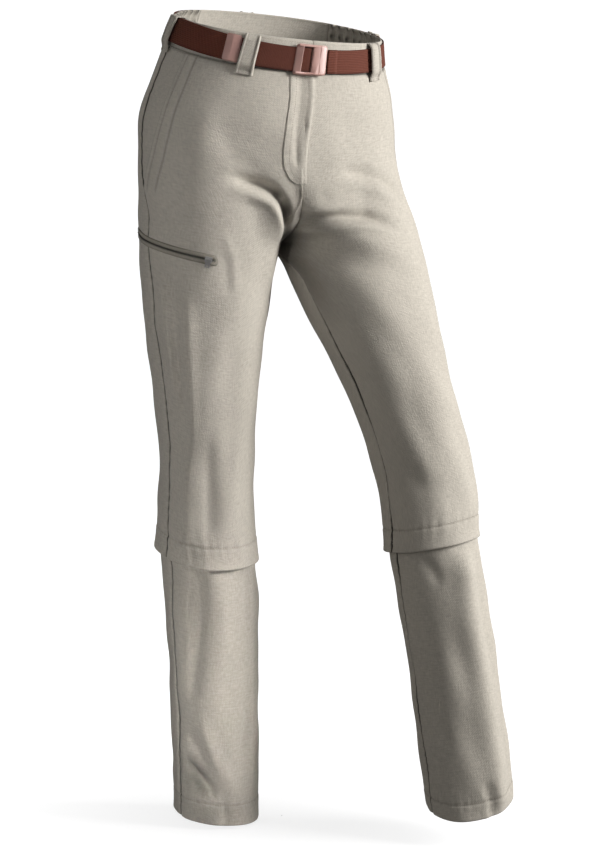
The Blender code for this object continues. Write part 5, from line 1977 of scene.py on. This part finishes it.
@dataclass
class Belt:
    """The web belt with its tip and buckle.

    Sizes are distances round the waist from the centre front, positive towards the wearer's left,
    heights above the belt's middle and lifts off the waistband.
    """

    shop: Workshop
    height: float = 0.030
    thickness: float = 0.0014
    lift: float = 0.0013
    outer_lift: float = 0.0030
    step: float = 0.0035
    rim: float = 0.0006
    flat_margin: float = 0.003
    edge_shade: float = 0.35
    edge_line: float = 0.0012
    fold_end: float = 0.034
    fold_nose: float = 0.0222
    roller: float = -0.005
    roller_half: float = 0.0016
    roller_lift: float = 0.0034
    roller_turn: float = 0.0021
    run_out: tuple[tuple[float, float], ...] = (
        (0.003, 0.0055), (0.0065, 0.0055), (0.0095, 0.0053),
        (0.0125, 0.0048), (0.0150, 0.0041), (0.0175, 0.0034))
    tongue_start: float = 0.020
    tongue_rows: int = 34
    buckle_start: float = -0.0228
    buckle_end: float = 0.0168
    buckle_half_height: float = 0.0188
    buckle_front: float = 0.0095
    buckle_rail: float = 0.0032
    buckle_lean: float = 0.02
    bar_end: float = -0.0145
    plate_start: float = -0.0018
    tip_start: float = -0.1078
    tip_end: float = -0.0895
    tip_lifts: tuple[float, float] = (0.0012, 0.0068)
    tip_half_height: float = 0.0158

    def build(self) -> None:
        """Build the web and the hard pieces."""
        self.web()
        self.hard_piece("moulded_tip", "belt_tip", [self.tip()])
        self.hard_piece("moulded_buckle", "belt_buckle", self.buckle())

    def path(self) -> np.ndarray:
        """The belt in plan: folded at the buckle's left, round the body, through the slot and back.

        Returns:
            Pairs of distance and lift.
        """
        turn = (self.outer_lift - self.lift) / 2
        end = WAIST.girth + self.roller
        start = end - self.tongue_start
        finish = WAIST.girth + self.tip_end + 0.0003
        path = [(self.fold_end, self.outer_lift), (self.fold_end - 0.004, self.outer_lift)]
        path.append((self.fold_nose + turn, self.outer_lift))
        path += half_turn(self.fold_nose, self.lift + turn, turn, -1)
        path.append((self.fold_nose + turn, self.lift))
        steps = round((end - self.fold_end) / self.step)
        path += [(self.fold_end + (end - self.fold_end) * i / steps, self.lift) for i in range(steps)]
        path += half_turn(end, self.roller_lift, self.roller_turn, 1)
        path += [(end - back, lift) for back, lift in self.run_out]
        steps = round((start - finish) / self.step)
        path += [(start + (finish - start) * i / steps, self.outer_lift) for i in range(steps + 1)]
        return np.array(path)

    def web(self) -> None:
        """The web as one strip along its path."""
        path = self.path()
        away = beside(path)
        half = self.height / 2
        inner = half - self.rim
        flat = np.linspace(self.flat_margin - half, half - self.flat_margin, 6)
        across = np.concatenate([[-inner], flat, [inner, half, inner], flat[::-1], [-inner, -half]])
        under = np.full(len(flat) + 2, -self.thickness / 2)
        off = np.concatenate([under, [0.0], -under, [0.0]])
        distance = path[:, None, 0] + away[:, None, 0] * off
        lift = path[:, None, 1] + away[:, None, 1] * off
        points = WAIST.point(distance, across, lift)
        rows, columns = distance.shape
        uv = stacked(passed(path)[:, None], across).reshape(-1, 2)
        tongue = (np.arange(rows) > rows - self.tongue_rows)[:, None] * np.ones(columns)
        edge = self.edge_shade * np.exp(-((half - np.abs(across)) / self.edge_line) ** 2)
        faces = [face[::-1] for face in capped_tube(rows, columns)]
        mesh = mesh_from("web_belt", points.reshape(-1, 3), faces, uv,
                         {"tongue": tongue.reshape(-1), "seam_and_painted_shade": np.tile(edge, rows)})
        self.shop.add("web_belt", mesh, BELT_FINISH, ["belt_strap"])

    def tip(self) -> Slab:
        """The moulded end of the web, whose front has two facets.

        Returns:
            Its plate.
        """
        heights = (-self.tip_half_height, self.tip_half_height)
        return Slab((self.tip_start, self.tip_end), heights, self.tip_lifts, 0.0022, 0.0006, roof=0.0013,
                    roof_place=-0.1, lean=-0.08)

    def buckle(self) -> list[Slab]:
        """The buckle: a domed plate, the bar beyond the slot, two rails and the rod in the slot.

        Returns:
            The plates that it is made of.
        """
        high = self.buckle_half_height
        front = self.buckle_front
        rails = (self.buckle_start + 0.001, self.buckle_end - 0.004)
        rod = (self.roller - self.roller_half, self.roller + self.roller_half)
        rod_lifts = (self.roller_lift - 0.0012, self.roller_lift + 0.0012)
        plates = [
            Slab((self.plate_start, self.buckle_end), (-high, high), (self.outer_lift + 0.0008, front),
                 0.0040, 0.0014, 0.0012),
            Slab((self.buckle_start, self.bar_end), (-high, high), (0.0030, front - 0.0002), 0.0026, 0.0010,
                 roof=0.0024, roof_place=0.9),
            Slab(rails, (high - self.buckle_rail, high), (0.0012, front - 0.0006), 0.0012, 0.0010),
            Slab(rails, (-high, self.buckle_rail - high), (0.0012, front - 0.0006), 0.0012, 0.0010),
            Slab(rod, (-high + 0.001, high - 0.001), rod_lifts, 0.0008, 0.0010),
        ]
        return [replace(plate, lean=self.buckle_lean) for plate in plates]

    def hard_piece(self, name: str, node: str, slabs: list[Slab]) -> None:
        """Join slabs into one moulded piece.

        Args:
            name: The piece's name.
            node: The CAD node that it stands for.
            slabs: Its plates.
        """
        points, faces = [], []
        for slab in slabs:
            some, more = slab.mesh_parts()
            first = sum(len(part) for part in points)
            faces += [[index + first for index in face[::-1]] for face in more]
            points.append(some)
        self.shop.add(name, mesh_from(name, np.concatenate(points), faces), BUCKLE_FINISH, [node])


@dataclass
class BeltLoops:
    """The loops over the belt: strips with rolled edges, their feet stitched down.

    The corners of a loop's path are heights above the belt's middle and lifts off the waistband.
    """

    shop: Workshop
    threads: Stitching
    half_width: float = 0.0102
    cloth: float = 0.0016
    roll: float = 0.0013
    flare: float = 0.0006
    roll_place: tuple[float, float] = (0.80, 0.13)
    edge_from: float = 0.97
    edge_share: float = 0.3
    foot_from: float = 0.72
    seam_place: tuple[float, float] = (0.62, 0.06)
    seam_shade: float = 0.45
    side_top: float = 0.0150
    front_reach: float = 0.098
    rows: int = 46
    half_ring: int = 25
    stitch_share: float = 0.55
    stitch_points: tuple[int, int] = (40, 12)
    bar_rows: tuple[int, int, int] = (1, 32, -2)
    corners: tuple[tuple[float, float], ...] = (
        (0.0205, 0.0009), (0.0190, 0.0040), (0.0150, 0.0060), (0.0000, 0.0066),
        (-0.0160, 0.0060), (-0.0190, 0.0042), (-0.0225, 0.0016), (-0.0275, 0.0013))
    places: tuple[tuple[str, float], ...] = (
        ("front_right", -0.0782), ("front_left", 0.098), ("side_right", -0.202), ("side_left", 0.201),
        ("back", 0.3836))

    def build(self) -> None:
        """Build every loop."""
        for name, distance in self.places:
            self.loop(name, distance)

    def path(self, centre: float) -> tuple[np.ndarray, np.ndarray]:
        """A loop's rounded path over the belt, whose top is lower away from the front.

        Args:
            centre: The loop's distance round the waist.

        Returns:
            The length passed and the height and lift at each row.
        """
        corners = np.array(self.corners)
        if abs(centre) > self.front_reach:
            lowered = self.side_top - np.minimum(np.arange(len(corners)) * 0.0002, 0.0004)
            corners[:, 0] = np.minimum(corners[:, 0], lowered)
        lengths = passed(corners)
        fine = np.linspace(0.0, lengths[-1], self.rows)
        path = np.c_[np.interp(fine, lengths, corners[:, 0]), np.interp(fine, lengths, corners[:, 1])]
        for _ in range(3):
            path[1:-1] = (path[:-2] + 2 * path[1:-1] + path[2:]) / 4
        return fine, path

    def loop(self, name: str, centre: float) -> None:
        """One belt loop.

        Args:
            name: The loop's place in words.
            centre: Its distance round the waist.
        """
        fine, path = self.path(centre)
        away = -beside(path)
        half_ring = np.linspace(-1, 1, self.half_ring)
        across = np.concatenate([half_ring, half_ring[::-1]])
        outer = np.arange(len(across)) < self.half_ring
        rolled = np.exp(-((np.abs(across) - self.roll_place[0]) / self.roll_place[1]) ** 2)
        end = np.where(np.abs(across) > self.edge_from, self.edge_share, 1.0)
        height = np.where(outer, (self.cloth / 2 + self.roll * rolled) * end, -self.cloth / 2 * end)
        foot = smooth_step((fine / fine[-1] - self.foot_from) / (1 - self.foot_from))
        width = self.half_width - self.flare * 0.5 + self.flare * foot
        flat = path[:, None, :] + away[:, None, :] * height[None, :, None]
        points = WAIST.point(centre + across * width[:, None], flat[..., 0], flat[..., 1])
        uv = stacked(across * self.half_width, fine[:, None]).reshape(-1, 2)
        seam = np.exp(-((np.abs(across) - self.seam_place[0]) / self.seam_place[1]) ** 2)
        seam_and_painted_shade = self.seam_shade * seam * outer * np.ones((self.rows, 1))
        faces = capped_tube(self.rows, len(across))
        mesh = mesh_from(f"loop_cloth_{name}", points.reshape(-1, 3), faces, uv, {"seam_and_painted_shade": seam_and_painted_shade.reshape(-1)})
        self.shop.add(f"loop_cloth_{name}", mesh, CLOTH_FINISH, [f"belt_loop_{name}"])
        self.stitches(centre, fine, path + away * (self.cloth / 2 + 0.0003))

    def stitches(self, centre: float, fine: np.ndarray, top: np.ndarray) -> None:
        """Two rows of stitches down a loop and three bars across it.

        Args:
            centre: The loop's distance round the waist.
            fine: The length passed at each row.
            top: The height and lift of the loop's outside at each row.
        """
        rows = np.linspace(0.03, 0.97, self.stitch_points[0]) * fine[-1]
        high = np.interp(rows, fine, top[:, 0])
        up = np.interp(rows, fine, top[:, 1])
        side = self.half_width * self.stitch_share
        for offset in (-side, side):
            self.threads.add(WAIST.point(centre + offset, high, up))
        bar = centre + np.linspace(-side, side, self.stitch_points[1])
        for row in self.bar_rows:
            self.threads.add(WAIST.point(bar, high[row], up[row]))


@dataclass
class ThighZip:
    """The zipped thigh pocket of the right leg: welts, tape, coil, slider and pull tab."""

    shop: Workshop
    threads: Stitching
    coils: Stitching
    start: tuple[float, float] = (0.575, 0.2515)
    end: tuple[float, float] = (0.315, 0.2815)
    sag: float = 0.001
    points: int = 90
    welt_widths: tuple[float, float] = (0.0010, 0.0062)
    welt_lift: float = 0.0013
    welt_crown: tuple[float, ...] = (0.55, 0.9, 1.0, 1.0, 1.0, 0.85, 0.3)
    welt_shade: tuple[float, ...] = (0.8, 0.2, 0.0, 0.0, 0.0, 0.3, 0.9)
    welt_root: float = -0.0002
    end_turns: int = 14
    tape_offsets: tuple[float, ...] = (-0.0013, -0.0007, 0.0, 0.0007, 0.0013)
    tape_root: float = -0.0001
    coil_lift: float = 0.0006
    stitch_offset: float = 0.0050

    def line(self, along: np.ndarray, offset: np.ndarray, lift: np.ndarray) -> np.ndarray:
        """Points beside the zip.

        Args:
            along: Shares of the zip's length.
            offset: Distances down from the zip.
            lift: Lifts off the cloth.

        Returns:
            Points, with a last axis of three.
        """
        along, offset, lift = np.broadcast_arrays(along, offset, lift)
        t = self.start[0] + (self.end[0] - self.start[0]) * along
        level = self.start[1] + (self.end[1] - self.start[1]) * along + self.sag * np.sin(np.pi * along)
        points, normals = FIGURE.surface(Layer.UPPER, RIGHT, t, level + offset)
        return points + normals * lift[..., None]

    def build(self) -> None:
        """Build the welts, the tape and the coil, and give the metal pieces their finish."""
        share = np.linspace(0.0, 1.0, self.points)
        length = float(passed(self.line(share, 0.0, 0.0))[-1])
        self.welts(share, length)
        along, offset = np.meshgrid(share, self.tape_offsets)
        self.strip("zip_tape_right", TAPE_FINISH, "zip_coil", (along, offset),
                   (self.coil_lift, self.tape_root), length, np.zeros(along.size))
        self.coils.add(self.line(share, 0.0, self.coil_lift + 0.0004))
        for side in (-self.stitch_offset, self.stitch_offset):
            self.threads.add(self.line(share[2:], side, self.welt_lift + 0.0001))
        for node in ("zip_slider", "zip_pull"):
            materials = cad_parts[node].data.materials
            materials.clear()
            materials.append(self.shop.material(METAL_FINISH))

    def welts(self, share: np.ndarray, length: float) -> None:
        """The folded lips on both sides of the zip, joined round its front end.

        Args:
            share: Shares of the zip's length.
            length: The zip's length.
        """
        turns = np.linspace(-np.pi / 2, np.pi / 2, self.end_turns)[1:-1]
        widths = np.linspace(*self.welt_widths, len(self.welt_crown))[:, None]
        straight = np.ones_like(widths) * share
        along = np.hstack([straight, 1 + widths * np.cos(turns) / length, straight[:, ::-1]])
        offset = np.hstack([0 * straight - widths, widths * np.sin(turns), 0 * straight + widths])
        lift = self.welt_lift * np.array(self.welt_crown)[:, None]
        seam_and_painted_shade = np.repeat(self.welt_shade, along.shape[1])
        self.strip("welt_cloth_right", WELT_FINISH, "zip_welts", (along, offset),
                   (lift, self.welt_root), length, seam_and_painted_shade)

    def strip(self, name: str, finish: WebFinish, node: str, places: tuple[np.ndarray, np.ndarray],
              lifts: tuple[np.ndarray | float, float], length: float, seam_and_painted_shade: np.ndarray) -> None:
        """Build a closed strip along the zip.

        Args:
            name: The piece's name.
            finish: Its finish.
            node: The CAD node that it stands for.
            places: Share of the zip's length and distance down from it, of each point.
            lifts: Lifts of its top and of its underside.
            length: The zip's length.
            seam_and_painted_shade: Painted shade of each point.
        """
        along, offset = places
        count = along.size
        sides = [self.line(along, offset, lift).reshape(-1, 3) for lift in lifts]
        rim = grid_rim(*along.shape)
        after = np.roll(rim, -1)
        faces = np.concatenate([grid_faces(*along.shape), grid_faces(*along.shape, count, flip=True),
                                np.stack([after, rim, rim + count, after + count], axis=1)])
        flat = stacked(along * length, offset).reshape(-1, 2)
        mesh = mesh_from(name, np.concatenate(sides), faces.tolist(), np.concatenate([flat, flat]),
                         {"seam_and_painted_shade": np.concatenate([seam_and_painted_shade, seam_and_painted_shade])})
        self.shop.add(name, mesh, finish, [node])


def stand(name: str, data: bpy.types.Light | bpy.types.Camera, place: Place, aim: Place) -> bpy.types.Object:
    """Set up a light or a camera.

    Args:
        name: Its name.
        data: The light or camera.
        place: Where it stands.
        aim: The place it faces.

    Returns:
        Its object.
    """
    thing = bpy.data.objects.new(name, data)
    thing.location = place
    thing.rotation_euler = (Vector(aim) - Vector(place)).to_track_quat("-Z", "Y").to_euler()
    bpy.context.scene.collection.objects.link(thing)
    return thing


@dataclass(frozen=True)
class SoftLight:
    """A soft rectangular light, with its power in watts and the angle of its beam in degrees."""

    name: str
    place: Place
    size: tuple[float, float]
    power: float
    aim: Place = GARMENT_MIDDLE
    beam: float = 180.0

    def build(self) -> None:
        """Set up the light."""
        light = bpy.data.lights.new(self.name, "AREA")
        light.shape = "RECTANGLE"
        light.size, light.size_y = self.size
        light.energy = self.power
        light.spread = math.radians(self.beam)
        stand(self.name, light, self.place, self.aim)


@dataclass
class Studio:
    """The pale floor, soft lights and the camera at the photo's angle.

    The key stands on the wearer's left, and the two narrow lights face the right leg's shaded side.
    """

    shop: Workshop
    floor_drop: float = 0.004
    floor_radii: tuple[float, ...] = (0.001, 0.5, 1.0, 2.0, 4.0, 7.0)
    floor_sides: int = 72
    sweep: float = 2.0
    sweep_steps: int = 9
    wall_height: float = 12.0
    air: float = 0.18
    lens: float = 101.3
    sensor: float = 36.0
    camera_place: Place = (-1.2679, -2.7189, -0.15)
    lights: tuple[SoftLight, ...] = (
        SoftLight("key_light", (2.25, -1.85, 0.70), (1.2, 1.2), 160.0),
        SoftLight("left_fill", (-2.60, -1.30, 0.60), (1.2, 1.2), 7.0),
        SoftLight("right_leg_strip", (-1.90, -1.90, -0.50), (0.12, 1.00), 0.20, (-0.12, 0.0, -0.50), 12.0),
        SoftLight("right_shin_light", (-0.45, -2.55, -0.80), (0.10, 0.24), 0.12, (-0.08, 0.0, -0.82), 9.0),
    )

    def build(self) -> None:
        """Build the set."""
        self.floor()
        for light in self.lights:
            light.build()
        world = bpy.data.worlds.new("studio_air")
        world.use_nodes = True
        air = world.node_tree.nodes["Background"]
        air.inputs["Color"].default_value = (1.0, 1.0, 1.0, 1.0)
        air.inputs["Strength"].default_value = self.air
        bpy.context.scene.world = world
        self.camera()

    def floor(self) -> None:
        """A round floor whose rim sweeps up into a wall."""
        level = CAD_BOX[0].z - self.floor_drop
        rim = self.floor_radii[-1]
        profile = [(radius, level) for radius in self.floor_radii]
        for angle in np.linspace(0, math.pi / 2, self.sweep_steps)[1:]:
            profile.append((rim + self.sweep * math.sin(angle), level + self.sweep * (1 - math.cos(angle))))
        profile.append((rim + self.sweep, level + self.wall_height))
        turns = np.linspace(0, 2 * math.pi, self.floor_sides, endpoint=False)
        points = [(r * math.cos(a), r * math.sin(a), z) for r, z in profile for a in turns]
        faces = grid_faces(len(profile), self.floor_sides, closed=True, flip=True)
        mesh = mesh_from("studio_floor", np.array(points), faces.tolist())
        mesh.materials.append(self.shop.material(FLOOR_FINISH))
        thing = bpy.data.objects.new("studio_floor", mesh)
        thing.visible_diffuse = False
        thing.visible_glossy = False
        thing.visible_shadow = False
        bpy.context.scene.collection.objects.link(thing)

    def camera(self) -> None:
        """The camera, placed and aimed to the photo's perspective."""
        camera = bpy.data.cameras.new("camera")
        camera.lens = self.lens
        camera.sensor_width = self.sensor
        camera.dof.use_dof = False
        bpy.context.scene.camera = stand("camera", camera, self.camera_place, GARMENT_MIDDLE)


def main() -> None:
    """Build everything in order."""
    logging.basicConfig(level=logging.INFO, format="%(message)s")
    bpy.context.scene.view_settings.view_transform = "Standard"
    shop = Workshop()
    threads = Stitching("seam_stitches", THREAD_FINISH)
    coils = Stitching("zip_coils", COIL_FINISH, 0.0011, (0.0008, 0.0017))
    Trousers(shop, threads).build()
    LowerLeg(shop, threads, coils, RIGHT, hem_level=0.988, hem_height=0.0265).build()
    LowerLeg(shop, threads, coils, LEFT, hem_level=0.950, hem_height=0.0200).build()
    Waistband(shop, threads).build()
    Belt(shop).build()
    BeltLoops(shop, threads).build()
    ThighZip(shop, threads, coils).build()
    threads.build(shop)
    coils.build(shop)
    Studio(shop).build()


if __name__ == "__main__":
    main()
